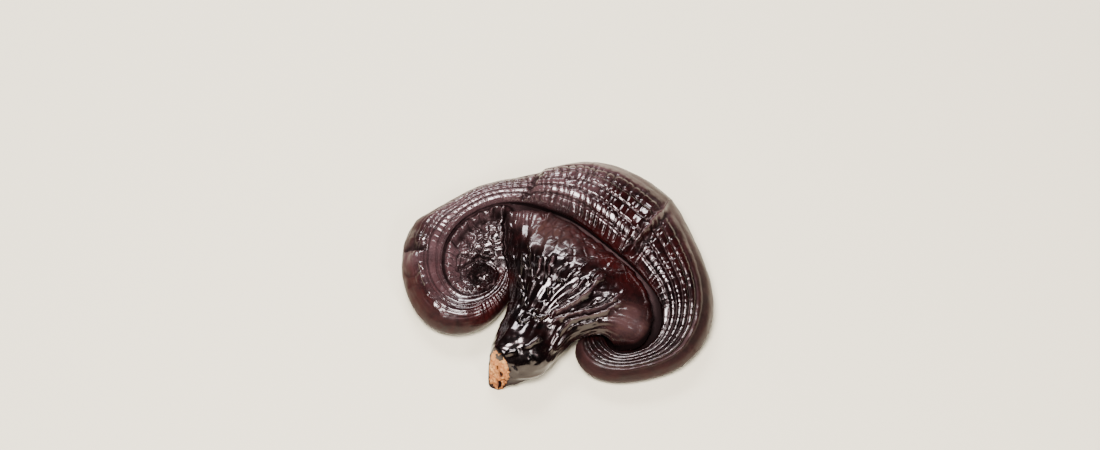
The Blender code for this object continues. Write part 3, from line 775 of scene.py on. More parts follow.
class Effects:
    """The shader node groups that more than one finish uses."""

    def __init__(self) -> None:
        """Builds each group once."""
        self._mottle = self._group("mottle", ("Scale", "Detail"))
        self._grain = self._group("grain", ("Scale",))
        self._build_mottle()
        self._build_grain()

    def _group(self, name: str, values: Sequence[str]) -> bpy.types.NodeTree:
        """An empty shader group with a vector, named values and one value out."""
        tree = bpy.data.node_groups.new(name, "ShaderNodeTree")
        tree.interface.new_socket("Vector", in_out="INPUT", socket_type="NodeSocketVector")
        for label in values:
            tree.interface.new_socket(label, in_out="INPUT", socket_type="NodeSocketFloat")
        tree.interface.new_socket("Value", in_out="OUTPUT", socket_type="NodeSocketFloat")
        return tree

    def _ends(self, tree: bpy.types.NodeTree) -> tuple[bpy.types.Node, bpy.types.Node]:
        """The group's input and output nodes."""
        return tree.nodes.new("NodeGroupInput"), tree.nodes.new("NodeGroupOutput")

    def _build_mottle(self) -> None:
        """Uneven blotches: a noise warped by another."""
        tree = self._mottle
        entry, leave = self._ends(tree)
        place = Wire(tree, entry.outputs["Vector"])
        scale = Wire(tree, entry.outputs["Scale"])
        warp = put(tree, "ShaderNodeTexNoise", 0, Vector=place, Scale=scale * 0.5, Detail=2.0)
        noise = put(tree, "ShaderNodeTexNoise", 0, Vector=place, Scale=scale,
                    Detail=Wire(tree, entry.outputs["Detail"]), Distortion=warp)
        plug(tree, leave.inputs["Value"], ((noise - 0.5) * 1.9 + 0.5).clipped())

    def _build_grain(self) -> None:
        """Fine pits and grit."""
        tree = self._grain
        entry, leave = self._ends(tree)
        place = Wire(tree, entry.outputs["Vector"])
        scale = Wire(tree, entry.outputs["Scale"])
        cells = put(tree, "ShaderNodeTexVoronoi", "Distance", Vector=place, Scale=scale)
        noise = put(tree, "ShaderNodeTexNoise", 0, Vector=place, Scale=scale * 0.6, Detail=2.0)
        plug(tree, leave.inputs["Value"], (cells * 0.7 + noise * 0.5).clipped())

    def _place(self, tree: bpy.types.NodeTree, group: bpy.types.NodeTree, place: Wire, **values: float) -> Wire:
        """Puts a group in a material's tree with its own values."""
        node = tree.nodes.new("ShaderNodeGroup")
        node.node_tree = group
        plug(tree, node.inputs["Vector"], place)
        for label, value in values.items():
            node.inputs[label.title()].default_value = value
        return Wire(tree, node.outputs["Value"])

    def mottle(self, tree: bpy.types.NodeTree, place: Wire, scale: float, detail: float) -> Wire:
        """Uneven blotches at a scale."""
        return self._place(tree, self._mottle, place, scale=scale, detail=detail)

    def grain(self, tree: bpy.types.NodeTree, place: Wire, scale: float) -> Wire:
        """Fine pits and grit at a scale."""
        return self._place(tree, self._grain, place, scale=scale)


@dataclass
class CrustMarks:
    """Where the crust is dusted, red, bloomed or black, as the picture shows it; the bloom marks and some of the
    dusted ones also carry painted sheen.
    """

    # Spore dusting; a few patches also carry painted sheen
    dust_and_sheen: tuple = (
        Patch(-50.0, -7.0, 7.0, 0.5), Patch(-42.0, -13.0, 6.0, 0.5), Patch(-36.0, -14.5, 4.0, 0.35),
        Patch(-60.0, 17.0, 4.0, 0.6), Patch(10.0, -26.0, 6.0, 0.8), Patch(16.0, -31.0, 7.0, 0.85),
        Patch(24.0, -33.5, 6.0, 0.7), Patch(33.0, -34.5, 6.0, 0.5), Patch(43.0, -33.0, 6.0, 0.4),
        Patch(52.0, -27.0, 5.0, 0.4), Patch(58.5, 5.0, 5.0, 0.35), Patch(59.5, -6.0, 5.0, 0.4),
        # The three patches from x 24 to 31 and y -10 to -17 lie on the fan's right bulge: there the lighter colour is
        # partly painted sheen
        Patch(57.0, -17.0, 5.0, 0.4), Patch(45.5, 9.0, 3.0, 0.4), Patch(24.0, -14.0, 5.0, 0.6),
        Patch(31.0, -17.0, 6.0, 0.55), Patch(28.0, -10.0, 4.0, 0.5), Patch(-4.0, 21.0, 4.5, 1.0),
        Patch(2.0, 18.5, 4.0, 0.7), Patch(-9.0, 22.0, 3.0, 0.7), Patch(-15.0, 25.0, 3.0, 0.5),
    )
    black: tuple = (
        Patch(-18.0, -24.0, 8.0, 1.0), Patch(-8.0, -28.0, 9.0, 1.0), Patch(-15.0, -34.0, 7.0, 1.0),
        Patch(-17.0, 8.0, 6.0, 1.0), Patch(-16.0, -2.0, 7.0, 1.0), Patch(-15.0, -12.0, 7.0, 1.0),
        Patch(-9.0, 9.0, 7.0, 0.95), Patch(0.0, 10.0, 7.0, 0.85), Patch(-5.0, -2.0, 8.0, 0.95),
        Patch(6.0, 2.0, 6.0, 0.7), Patch(12.0, -3.0, 7.0, 0.8), Patch(20.0, -6.0, 6.0, 0.5),
        Patch(8.0, -14.0, 8.0, 0.8), Patch(-30.0, 7.0, 7.0, 0.8), Patch(-27.0, 15.0, 5.0, 0.5),
        Patch(38.0, 8.0, 5.0, 0.7), Patch(42.0, -3.0, 5.0, 0.8), Patch(40.0, -15.0, 5.0, 0.7),
        Patch(20.0, 34.0, 8.0, 0.7), Patch(30.0, 24.0, 7.0, 0.6), Patch(46.0, -8.0, 7.0, 0.6),
        Patch(44.0, -22.0, 7.0, 0.5), Patch(-40.0, -6.0, 5.0, 0.5),
    )
    red: tuple = (
        Patch(-30.0, -11.5, 6.0, 0.8), Patch(-24.5, -5.0, 4.0, 0.8), Patch(-20.5, 2.5, 3.2, 1.0),
        Patch(-57.0, 3.0, 6.0, 0.5), Patch(8.0, 20.0, 5.0, 0.6), Patch(16.0, 17.0, 6.0, 0.7),
        Patch(22.0, 11.0, 6.0, 0.7), Patch(28.0, 4.0, 5.0, 0.7), Patch(35.0, -1.0, 4.0, 0.5),
        Patch(20.0, 33.0, 9.0, 0.35), Patch(33.0, 25.0, 8.0, 0.35), Patch(46.0, 12.0, 7.0, 0.35),
        Patch(-52.0, -5.0, 8.0, 0.4), Patch(-7.0, 24.0, 4.0, 0.6),
    )
    # Partly spore bloom, partly painted sheen: the pinkish-grey lightening on the top margin, the left curl and the
    # bricks behind the overlap
    bloom_and_sheen: tuple = (
        Patch(-46.0, 26.0, 6.0, 0.6), Patch(-38.0, 31.0, 6.0, 0.8), Patch(-28.0, 34.5, 6.0, 0.85),
        Patch(-19.0, 36.0, 5.0, 0.85), Patch(-9.0, 41.0, 5.0, 0.7), Patch(0.0, 45.0, 4.5, 0.9),
        Patch(9.0, 47.0, 4.5, 0.95), Patch(18.0, 47.5, 4.5, 0.9), Patch(26.0, 45.5, 4.0, 0.7),
        Patch(33.0, 41.0, 4.0, 0.4), Patch(-48.0, 15.0, 5.0, 0.6), Patch(-49.0, 5.0, 5.0, 0.5),
        Patch(-44.0, -3.0, 5.0, 0.4), Patch(-57.0, 11.0, 4.0, 0.6), Patch(41.0, 28.0, 4.0, 0.4),
        Patch(50.0, 28.0, 5.0, 0.35), Patch(56.0, 18.0, 5.0, 0.35), Patch(-13.0, 27.0, 4.0, 0.5),
        Patch(-30.0, 24.0, 5.0, 0.4), Patch(-41.0, 12.0, 4.0, 0.6), Patch(-36.0, 18.0, 6.0, 0.55),
        Patch(-39.0, 7.0, 4.0, 0.6), Patch(-8.0, 38.0, 6.0, 0.5), Patch(0.0, 37.0, 7.0, 0.6),
        Patch(8.0, 36.0, 6.0, 0.45), Patch(15.0, 40.0, 5.0, 0.4), Patch(-38.0, 0.0, 3.5, 0.5),
        Patch(27.0, -14.0, 6.0, 0.3),
    )

    def read(self, places: np.ndarray) -> dict[str, np.ndarray]:
        """The masks at each place, by name."""
        flat = seen(places)
        return {
            "black": patch_mask(flat, self.black),
            "dust_and_sheen": patch_mask(flat, self.dust_and_sheen),
            "red": patch_mask(flat, self.red),
            "bloom_and_sheen": patch_mask(flat, self.bloom_and_sheen),
        }


@dataclass
class Band:
    """The cap's ringed band, curled in at both ends, with its rolled edge and the pore surface beneath."""

    steps_along: int = 800
    steps_ringed: int = 70
    steps_margin: int = 20
    steps_turn: int = 9
    steps_under: int = 16
    crest_at: float = 0.36
    lip_shoulder: tuple = (2.2, 0.75)
    edge_shoulder: tuple = (2.3, 0.62)
    ringed_to: float = 0.80
    edge_curl: float = 4.0
    flesh: float = 10.0
    flesh_least: float = 4.0
    flesh_rise: float = 2.5
    lip_undercut: float = 1.2
    end_rounding: float = 1.3
    folds: tuple = ((17.2, 0.9, 0.22), (16.5, -0.5, 0.35), (20.6, 0.5, 0.5), (9.6, 0.4, 0.5))
    overlap_at: float = 13.1
    overlap_height: float = 2.5

    # The ring grooves: at key stations, how far across each lies, how deep it is and how wide they all are
    rings: tuple = (
        (0, (0.16, 0.32, 0.47, 0.62, 0.76, 0.88), (0.9, 0.8, 0.5, 0.2, 0.1, 0.0), 0.16),
        (2, (0.16, 0.32, 0.47, 0.62, 0.76, 0.88), (1.0, 0.9, 0.5, 0.2, 0.1, 0.0), 0.16),
        (4, (0.15, 0.34, 0.44, 0.60, 0.74, 0.87), (0.9, 0.8, 0.4, 0.2, 0.1, 0.1), 0.14),
        (7, (0.13, 0.37, 0.43, 0.60, 0.74, 0.87), (0.5, 1.0, 0.7, 0.3, 0.2, 0.1), 0.12),
        (9, (0.14, 0.35, 0.43, 0.59, 0.73, 0.86), (0.6, 1.0, 0.8, 0.5, 0.3, 0.2), 0.12),
        (11, (0.20, 0.34, 0.46, 0.60, 0.72, 0.84), (0.8, 0.9, 0.9, 0.8, 0.5, 0.3), 0.13),
        (12.8, (0.16, 0.30, 0.44, 0.58, 0.71, 0.83), (0.8, 0.9, 0.9, 0.8, 0.6, 0.3), 0.14),
        (13.3, (0.145, 0.29, 0.43, 0.57, 0.70, 0.82), (0.9, 1.0, 1.0, 0.9, 0.6, 0.2), 0.13),
        (15, (0.145, 0.29, 0.43, 0.57, 0.70, 0.82), (0.8, 0.9, 0.9, 0.8, 0.5, 0.15), 0.13),
        (17, (0.14, 0.28, 0.42, 0.56, 0.70, 0.83), (0.6, 0.7, 0.7, 0.6, 0.4, 0.15), 0.13),
        (18.2, (0.14, 0.28, 0.42, 0.55, 0.69, 0.83), (0.6, 0.8, 0.8, 0.7, 0.5, 0.2), 0.16),
        (21, (0.14, 0.28, 0.41, 0.55, 0.68, 0.81), (0.8, 1.0, 1.1, 1.1, 1.0, 0.9), 0.24),
        (24, (0.13, 0.30, 0.45, 0.58, 0.72, 0.85), (1.0, 1.1, 1.1, 1.0, 0.6, 0.3), 0.24),
        (27, (0.14, 0.32, 0.48, 0.62, 0.75, 0.87), (1.0, 1.0, 0.9, 0.6, 0.3, 0.1), 0.22),
        (29, (0.14, 0.32, 0.48, 0.62, 0.75, 0.87), (0.8, 0.8, 0.6, 0.4, 0.2, 0.0), 0.20),
    )

    # How strongly cracks cross the rings, and how lumpy the margin is, along the band
    cracks: tuple = (
        (0, 0.12), (2, 0.2), (4, 0.06), (8, 0.12), (9.5, 0.35), (12.7, 0.5), (13.2, 1.0), (15.0, 0.95),
        (16.6, 0.6), (17.6, 0.5), (19, 0.4), (21, 0.2), (24, 0.15), (29, 0.15),
    )
    lumps: tuple = ((0, 0.3), (5.5, 0.4), (7.2, 1.6), (8.6, 1.6), (9.6, 0.5), (13, 0.3), (22, 0.4), (29, 0.6))

    # How matt the margin is along the band
    matte: tuple = ((0, 0.5), (3, 0.5), (6, 0.9), (9, 0.8), (12, 0.7), (15, 0.6), (18, 0.8), (29, 0.9))

    # How pale and worn the margin is along the band
    worn: tuple = (
        (0, 0.2), (3, 0.05), (4.5, 0.15), (6, 0.8), (9, 0.9), (12, 0.8), (15, 0.7), (18, 0.6), (22, 0.5),
        (25, 0.35), (29, 0.3),
    )

    # The raised bead along the lip
    bead: tuple = ((0, 1.0), (9, 1.0), (11, 0.7), (13, 0.5), (14, 0.9), (20, 0.8), (24, 1.0), (29, 1.0))
    bead_height: float = 0.5
    bead_at: float = 0.9
    bead_width: float = 0.55

    # Short ribs across the margin of the left curl's tip
    ribbed: tuple = ((0.9, 0.0), (1.3, 1.0), (2.9, 1.0), (3.4, 0.0))
    rib_spacing: float = 1.5
    rib_height: float = 0.28

    # The margin's own folds, as the picture shows them
    margin_folds: tuple = (
        Fold(((-60.5, 13.4), (-56.0, 15.0), (-50.6, 14.8)), -2.4, 0.8),
        Fold(((-59.5, 17.5), (-54.0, 18.0), (-50.5, 18.6)), 0.6, 1.0),
        Fold(((-57.0, 11.5), (-54.5, 9.0), (-53.5, 5.5)), 0.8, 1.5),
        Fold(((-60.0, 5.0), (-56.5, 3.8), (-52.5, 6.5)), -0.6, 0.7),
        Fold(((-58.5, -1.5), (-55.0, 0.5), (-51.5, 0.0)), -0.4, 0.7),
        Fold(((-54.0, 7.5), (-53.0, 4.0), (-50.5, -2.0), (-47.5, -8.0), (-44.5, -12.0)), 0.45, 0.6),
        Fold(((52.5, -25.0), (54.0, -25.8), (55.5, -26.8)), -0.6, 0.35),
        Fold(((3.5, 40.0), (6.5, 42.5), (8.0, 44.0)), -0.5, 0.6),
        Fold(((-14.2, 32.0), (-11.4, 36.5), (-9.0, 40.5), (-5.6, 43.4)), -1.2, 0.7),
        Fold(((26.5, 10.6), (32.0, 18.4), (37.6, 25.6), (43.6, 31.4), (45.5, 33.2)), 1.6, 0.6),
        Fold(((24.9, 12.0), (30.4, 19.6), (36.0, 26.8), (41.6, 32.6)), -1.0, 0.7),
        Fold(((28.6, 9.6), (33.8, 17.0), (39.4, 24.2), (44.8, 29.6)), -1.1, 0.8),
    )

    def underside_at_lip(self, lip: np.ndarray, foot: np.ndarray) -> np.ndarray:
        """The height of the band's underside near its lip."""
        return np.minimum(np.maximum(foot + self.flesh_rise, lip[:, 2] - self.flesh), lip[:, 2] - self.flesh_least)

    def fold_height(self, stations: np.ndarray, across: float) -> np.ndarray:
        """The height of the folds and of the overlap at a fraction of the band's width."""
        rise = math.sin(math.pi * min(max(across, 0.0), 1.0)) ** 0.5
        height = np.zeros_like(stations)
        for station, fold, spread in self.folds:
            height += fold * rise * np.exp(-((stations - station) / spread)**2)
        step = 0.5 + 0.5 * np.tanh((stations - self.overlap_at - 0.6 * across) / 0.06)
        settle = np.clip((17.0 - stations) / 3, 0, 1)
        return height + self.overlap_height * rise * step * settle

    def sections(self, stations: np.ndarray) -> tuple[np.ndarray, np.ndarray]:
        """The closed cross-sections.

        Args:
            stations: where along the band to cut it.

        Returns:
            The points, one row for each station, and how far across the band each column lies: above 1 it is
            on the rolled edge and underneath.
        """
        lip = spline(BAND_LIP, stations)
        edge = spline(BAND_EDGE, stations)
        crest = spline(BAND_CREST, stations)
        foot = spline(BAND_FOOT, stations)
        out = edge[:, :2] - lip[:, :2]
        width = np.linalg.norm(out, axis=1)
        out = out / width[:, None]

        ringed = np.linspace(0, self.ringed_to, self.steps_ringed + 1)
        margin = 1 - (1 - self.ringed_to) * (1 - np.linspace(0, 1, self.steps_margin + 1)[1:])**1.6
        top = np.concatenate([ringed, margin])
        section = []
        for across in top:
            if across < self.crest_at:
                flat, steep = self.lip_shoulder
                away = (self.crest_at - across) / self.crest_at
                base = lip[:, 2]
            else:
                flat, steep = self.edge_shoulder
                away = (across - self.crest_at) / (1 - self.crest_at)
                base = edge[:, 2]
            height = base + (crest - base) * (1 - away**flat)**steep
            beaded = np.interp(stations, *np.transpose(self.bead)) * self.bead_height
            height = height + beaded * np.exp(-((across * width - self.bead_at) / self.bead_width)**2)
            section.append((across * width, height + self.fold_height(stations, across)))
        for angle in np.linspace(0, math.pi / 2, self.steps_turn + 1)[1:]:
            section.append((
                width - self.edge_curl * (1 - math.cos(angle)),
                edge[:, 2] - (edge[:, 2] - foot) * math.sin(angle),
            ))
        inner = self.underside_at_lip(lip, foot)
        under = np.array([
            (width - self.edge_curl, foot),
            (0.45 * width, 0.5 * (foot + inner)),
            (0.12 * width, inner),
            (np.full_like(width, self.lip_undercut), 0.5 * (lip[:, 2] + inner)),
            (np.zeros_like(width), lip[:, 2]),
        ])
        for at in np.linspace(0, 4, self.steps_under + 1)[1:-1]:
            distance, height = spline(under.reshape(5, -1), np.array([at]))[0].reshape(2, -1)
            section.append((distance, height))

        grid = np.empty((len(stations), len(section), 3))
        for column, (distance, height) in enumerate(section):
            grid[:, column, :2] = lip[:, :2] + out * np.asarray(distance)[:, None]
            grid[:, column, 2] = height
        beyond = np.linspace(1, 2, len(section) - len(top) + 1)[1:]
        return self.round_ends(grid, stations), np.concatenate([top, beyond])

    def round_ends(self, grid: np.ndarray, stations: np.ndarray) -> np.ndarray:
        """Draws the band's two ends in to a point, as a curl's tip is."""
        from_end = np.minimum(stations, LAST_STATION - stations) / self.end_rounding
        share = np.sqrt(np.clip(1 - (1 - np.clip(from_end, 0, 1))**2, 0.0004, 1))
        middle = grid.mean(axis=1, keepdims=True)
        return middle + (grid - middle) * share[:, None, None]

    def ring_numbers(self, stations: np.ndarray, across: np.ndarray) -> tuple[np.ndarray, ...]:
        """Lays out the ring grooves.

        Args:
            stations: where along the band.
            across: how far across.

        Returns:
            For each station and place across, a number that is whole on each groove, the nearest groove's
            depth as a share, and the grooves' width.
        """
        keys = [row[0] for row in self.rings]
        places, depths = [
            np.array([np.interp(stations, keys, [row[part][ring] for row in self.rings]) for ring in range(6)])
            for part in (1, 2)
        ]
        numbers = np.empty((len(stations), len(across)))
        shares = np.empty_like(numbers)
        for row in range(len(stations)):
            known = np.concatenate([[0.0], places[:, row], [1.02]])
            counts = np.concatenate([np.arange(len(known) - 1), [len(known) - 1.5]])
            numbers[row] = np.interp(across, known, counts)
            shares[row] = np.interp(across, places[:, row], depths[:, row])
        numbers[:, across < 0.04] = 0.5
        width = np.interp(stations, keys, [row[3] for row in self.rings])
        return numbers, shares, np.repeat(width[:, None], len(across), axis=1)

    def build(self) -> bpy.types.Object:
        """Makes the band's mesh with the values that its relief and finish read."""
        stations = even_stations(BAND_EDGE, 0, LAST_STATION, self.steps_along)
        grid, across = self.sections(stations)
        rows, columns = grid.shape[:2]
        middle = grid[:, :len(across) // 2].mean(axis=1)
        along = np.concatenate([[0], np.cumsum(np.linalg.norm(np.diff(middle, axis=0), axis=1))])
        on_top = np.clip((1.04 - across) / 0.1, 0, 1)
        ringed = np.clip((0.96 - across) / 0.08, 0, 1) * np.clip((across - 0.03) / 0.05, 0, 1)
        numbers, depths, widths = self.ring_numbers(stations, across)
        cracked = np.interp(stations, *np.transpose(self.cracks))[:, None]
        crack_share = cracked * np.clip((0.76 - across) / 0.08, 0, 1) * np.clip(across / 0.05, 0, 1)
        lump = np.interp(stations, *np.transpose(self.lumps))[:, None]
        lump_share = lump * np.clip((across - 0.42) / 0.15, 0, 1) * on_top

        verts = grid.reshape(-1, 3)
        ridges, creases = fold_heights(verts, self.margin_folds, 0.5, 41)
        top = np.tile(on_top, rows)
        rib = np.cos(2 * math.pi * along / self.rib_spacing) * np.interp(stations, *np.transpose(self.ribbed))
        ribbed = np.clip((across - 0.42) / 0.12, 0, 1) * on_top
        verts[:, 2] += (ridges - creases) * top + self.rib_height * (rib[:, None] * ribbed[None]).ravel()
        quiet = 1 - 0.85 * np.clip(ridges / 1.2, 0, 1)
        # Painted shade on the crevice's inner wall beside the lip, so it reads black
        shaded_inner_wall = np.clip((across - 1.68) / 0.05, 0, 1)
        matte = np.interp(stations, *np.transpose(self.matte))
        worn = np.interp(stations, *np.transpose(self.worn))
        margin = np.clip((across[None, :] - 0.62) / 0.2, 0, 1)
        marks = {
            "ring": numbers.ravel(),
            "ring_width": widths.ravel(),
            "along": np.repeat(along, columns),
            "ring_strength": (depths * ringed).ravel() * quiet,
            "crack_strength": crack_share.ravel() * quiet,
            "lump_strength": lump_share.ravel(),
            # Painted shade in the margin's creases and on the crevice's inner wall
            "crease": np.clip(np.maximum(creases * 0.8 * top, np.tile(shaded_inner_wall, rows)), 0, 1),
            "satin": (margin * matte[:, None]).ravel(),
            "worn": (margin * worn[:, None]).ravel(),
            "under": np.tile(np.clip(np.minimum(across - 1.42, 1.69 - across) / 0.04, 0, 1), rows),
        }
        marks.update(CrustMarks().read(verts))
        # Painted highlight: the pinkish-grey lightening is laid along the crests of the margin's ridges
        marks["bloom_and_sheen"] = np.maximum(marks["bloom_and_sheen"], 0.7 * np.clip((ridges - 0.7) / 0.8, 0, 1) * top)
        return solid_object("cap_band", verts, loop_faces(rows, columns), marks)


@dataclass
class CurlFloor:
    """The cap's floor between band and fan: the left curl's ridge, valley, slope and pit, and the crevice's bed."""

    spacing: float = 0.62
    spacing_in_curl: float = 0.27
    curl_middle: tuple = (-31.0, 8.0)
    curl_reach: float = 17.5
    clearance: float = 0.6
    border_at: float = 0.34
    inset: float = 0.4
    border_stations: int = 420
    depths: tuple = ((0, 3.0), (11, 3.0), (13, 6.0), (20, 6.0), (24, 3.8), (29, 3.5))
    least: float = 2.5
    below_crest: float = 3.0
    border_rise: float = 0.65
    buried_by: float = 1.0
    set_in: float = 0.4
    ridge_stations: tuple = (1.2, 12.2)
    narrows_at: float = 8.5
    blocks: tuple = ((0.5, -1.3), (1.6, 0.1), (3.2, 0.1), (4.5, -0.7), (5.4, -1.5))
    rail: tuple = ((0.5, -1.6), (1.5, 0.0), (2.2, -0.2), (3.0, -2.4), (4.2, -4.1))
    mound_stations: tuple = (4.6, 11.2)
    mound_in_blocks: tuple = ((7.2, -1.9), (9.2, -2.5))
    mound_in_rail: tuple = ((5.7, -2.9), (7.5, -2.2), (9.5, -1.7))
    creases: tuple = (
        Fold(((-40.5, 11.3), (-36.5, 11.8), (-33.0, 11.5)), -0.9, 0.45),
        Fold(((-38.5, 18.6), (-35.0, 16.5), (-34.2, 13.8)), -0.8, 0.45),
        Fold(((-34.5, 24.3), (-31.0, 22.3), (-27.0, 20.2)), -0.8, 0.45),
        Fold(((-28.4, 24.6), (-29.6, 26.4)), -0.6, 0.4),
        Fold(((-24.5, 26.0), (-25.0, 29.0)), -0.6, 0.4),
        Fold(((-39.5, 5.2), (-35.5, 7.8), (-31.0, 10.2)), -1.4, 0.7),
        Fold(((-38.5, 3.0), (-35.0, 3.8), (-33.0, 1.8)), -0.9, 0.5),
        Fold(((-31.0, 16.5), (-29.0, 17.5), (-27.5, 16.0)), -0.6, 0.5),
        Fold(((-36.0, 21.5), (-33.5, 19.0), (-29.5, 17.8)), -0.5, 0.4),
        Fold(((-37.8, 14.2), (-34.5, 14.6), (-32.0, 14.0)), -0.5, 0.35),
        Fold(((-25.0, -0.3), (-24.0, 3.5), (-25.0, 6.2), (-28.3, 7.9), (-31.6, 7.6), (-33.8, 5.7)), 1.5, 0.8),
        Fold(((-27.0, 5.6), (-30.5, 4.6), (-32.6, 3.0)), -1.3, 0.7),
        Fold(((-25.0, 9.6), (-28.3, 10.2), (-31.0, 10.6), (-33.8, 9.5)), -1.0, 0.5),
        Fold(((-35.5, 3.2), (-33.5, 0.8), (-30.0, -0.8), (-26.5, -0.4)), 0.9, 0.8),
        Fold(((-20.6, 31.0), (-20.3, 25.0), (-20.1, 18.5), (-19.9, 12.0), (-17.5, 4.0)), -1.6, 0.6),
    )
    band: Band = field(default_factory=Band)

    def border(self, count: int) -> tuple[np.ndarray, np.ndarray, np.ndarray, np.ndarray, np.ndarray]:
        """The stations round the floor with the lip, edge, crest and foot of the band there."""
        stations = np.linspace(self.inset, LAST_STATION - self.inset, count)
        curves = (BAND_LIP, BAND_EDGE, BAND_CREST, BAND_FOOT)
        return (stations, *(spline(curve, stations) for curve in curves))

    def known_heights(self) -> dict[Sheet, np.ndarray]:
        """The points that each side's smooth sheet passes through."""
        stations, lip, edge, crest, foot = self.border(88)
        inner = self.band.underside_at_lip(lip, foot)
        place = lip[:, :2] + self.border_at * (edge - lip)[:, :2]
        root = np.array(FLOOR_ROOT)
        buried = self.border_rise * inner + (1 - self.border_rise) * foot + self.buried_by
        out = (edge - lip)[:, :2]
        out = out / np.linalg.norm(out, axis=1)[:, None]

        depth = np.interp(stations, *np.transpose(self.depths))
        first, last = self.ridge_stations
        ridged = (stations > first) & (stations < last)
        deep = ~ridged & (stations > first)
        deep[[0, -1]] = False
        bed = np.column_stack([lip[deep, :2], lip[deep, 2] - depth[deep]])
        curves = [np.column_stack([place, crest - self.below_crest]), root, bed, np.array(FLOOR)]
        swollen = (stations > self.mound_stations[0]) & (stations < self.mound_stations[1])
        broad = stations < self.narrows_at
        grown = np.clip((stations - first) / 2.0, 0.35, 1)
        for part, profile, every in (
            (ridged & broad, self.blocks, 2), (ridged & ~broad, self.rail, 2),
            (swollen & broad, self.mound_in_blocks, 3), (swollen & ~broad, self.mound_in_rail, 3),
        ):
            for distance, height in profile:
                at = lip[part, :2] - (out * (distance * grown)[:, None])[part]
                curves.append(np.column_stack([at, (lip[:, 2] + height * grown)[part]])[::every])
        under_root = np.column_stack([root[:, :2], np.full(len(root), UNDERSIDE_AT_ROOT)])
        gutter = np.column_stack([lip[1:-1, :2], inner[1:-1] + self.set_in])
        return {
            Sheet.TOP: np.concatenate(curves),
            Sheet.UNDER: np.concatenate([
                np.column_stack([place, buried]), under_root, gutter, np.array(UNDERSIDE),
            ]),
        }

    def plan(self) -> tuple[np.ndarray, list, int]:
        """The plan's points, its triangles, and how many points are on its rim."""
        _, lip, edge, _, _ = self.border(self.border_stations)
        rim = lip[:, :2] + self.border_at * (edge - lip)[:, :2]
        root = np.array(FLOOR_ROOT)[:, :2]
        corners = np.concatenate([rim[-1:], root, rim[:1]])
        sides = []
        for a, b in zip(corners[:-1], corners[1:]):
            steps = max(2, int(np.linalg.norm(b - a) / self.spacing / 1.5))
            sides.append(a + (b - a) * np.linspace(0, 1, steps + 1)[:-1, None])
        outline = np.concatenate([rim[:-1], *sides])
        inside = self.inside(outline)
        flat = [Vector(p) for p in outline] + [Vector(p) for p in inside]
        ring = [(i, (i + 1) % len(outline)) for i in range(len(outline))]
        flat, _, faces, _, _, _ = geometry.delaunay_2d_cdt(flat, ring, [], 1, 1e-6)
        return np.array([(p.x, p.y) for p in flat]), faces, len(outline)

    def inside(self, outline: np.ndarray) -> np.ndarray:
        """Points of a triangular grid that lie inside an outline and clear of it."""
        low, high = outline.min(axis=0), outline.max(axis=0)
        places = []
        for spacing, in_curl in ((self.spacing, False), (self.spacing_in_curl, True)):
            rows = []
            for number, y in enumerate(np.arange(low[1], high[1], spacing * math.sqrt(3) / 2)):
                x = np.arange(low[0] + (0.5 if number % 2 else 1.0) * spacing, high[0], spacing)
                rows.append(np.column_stack([x, np.full_like(x, y)]))
            grid = np.concatenate(rows)
            away = np.linalg.norm(grid - np.array(self.curl_middle), axis=1)
            places.append(grid[away < self.curl_reach] if in_curl else grid[away > self.curl_reach + 0.3])
        places = np.concatenate(places)
        following = np.roll(outline, -1, axis=0)
        kept = []
        for part in np.array_split(places, max(1, len(places) // 2000)):
            x, y = part[:, :1], part[:, 1:]
            rises = (outline[:, 1] > y) != (following[:, 1] > y)
            tall = np.where(following[:, 1] == outline[:, 1], 1e-9, following[:, 1] - outline[:, 1])
            cross = outline[:, 0] + (y - outline[:, 1]) * (following[:, 0] - outline[:, 0]) / tall
            odd = ((rises & (x < cross)).sum(axis=1) % 2) == 1
            near = np.sqrt(((part[:, None, :] - outline[None])**2).sum(axis=2)).min(axis=1)
            kept.append(part[odd & (near > self.clearance * self.spacing_in_curl)])
        return np.concatenate(kept)

    def from_lip(self, places: np.ndarray) -> tuple[np.ndarray, np.ndarray, np.ndarray]:
        """How far each place is from the band's lip, and the lip's station and length there."""
        stations = even_stations(BAND_LIP, 0, LAST_STATION, 2000)
        lip = spline(BAND_LIP, stations)[:, :2]
        length = np.concatenate([[0], np.cumsum(np.linalg.norm(np.diff(lip, axis=0), axis=1))])
        nearest = []
        distance = []
        for part in np.array_split(places, max(1, len(places) // 2000)):
            square = ((part[:, None, :] - lip[None])**2).sum(axis=2)
            nearest.append(square.argmin(axis=1))
            distance.append(np.sqrt(square.min(axis=1)))
        nearest = np.concatenate(nearest)
        return np.concatenate(distance), stations[nearest], length[nearest]

    def build(self) -> bpy.types.Object:
        """Makes the floor's mesh, its top and underside sewn at the buried rim."""
        places, faces, rim = self.plan()
        known = self.known_heights()
        top = thin_plate(known[Sheet.TOP], places)
        under = np.minimum(thin_plate(known[Sheet.UNDER], places), top - self.least)
        count = len(places)
        verts = np.column_stack([np.tile(places, (2, 1)), np.concatenate([top, under])])
        solid = [tuple(face) for face in faces]
        solid += [tuple(count + i for i in reversed(face)) for face in faces]
        solid += [(i, (i + 1) % rim, count + (i + 1) % rim, count + i) for i in range(rim)]

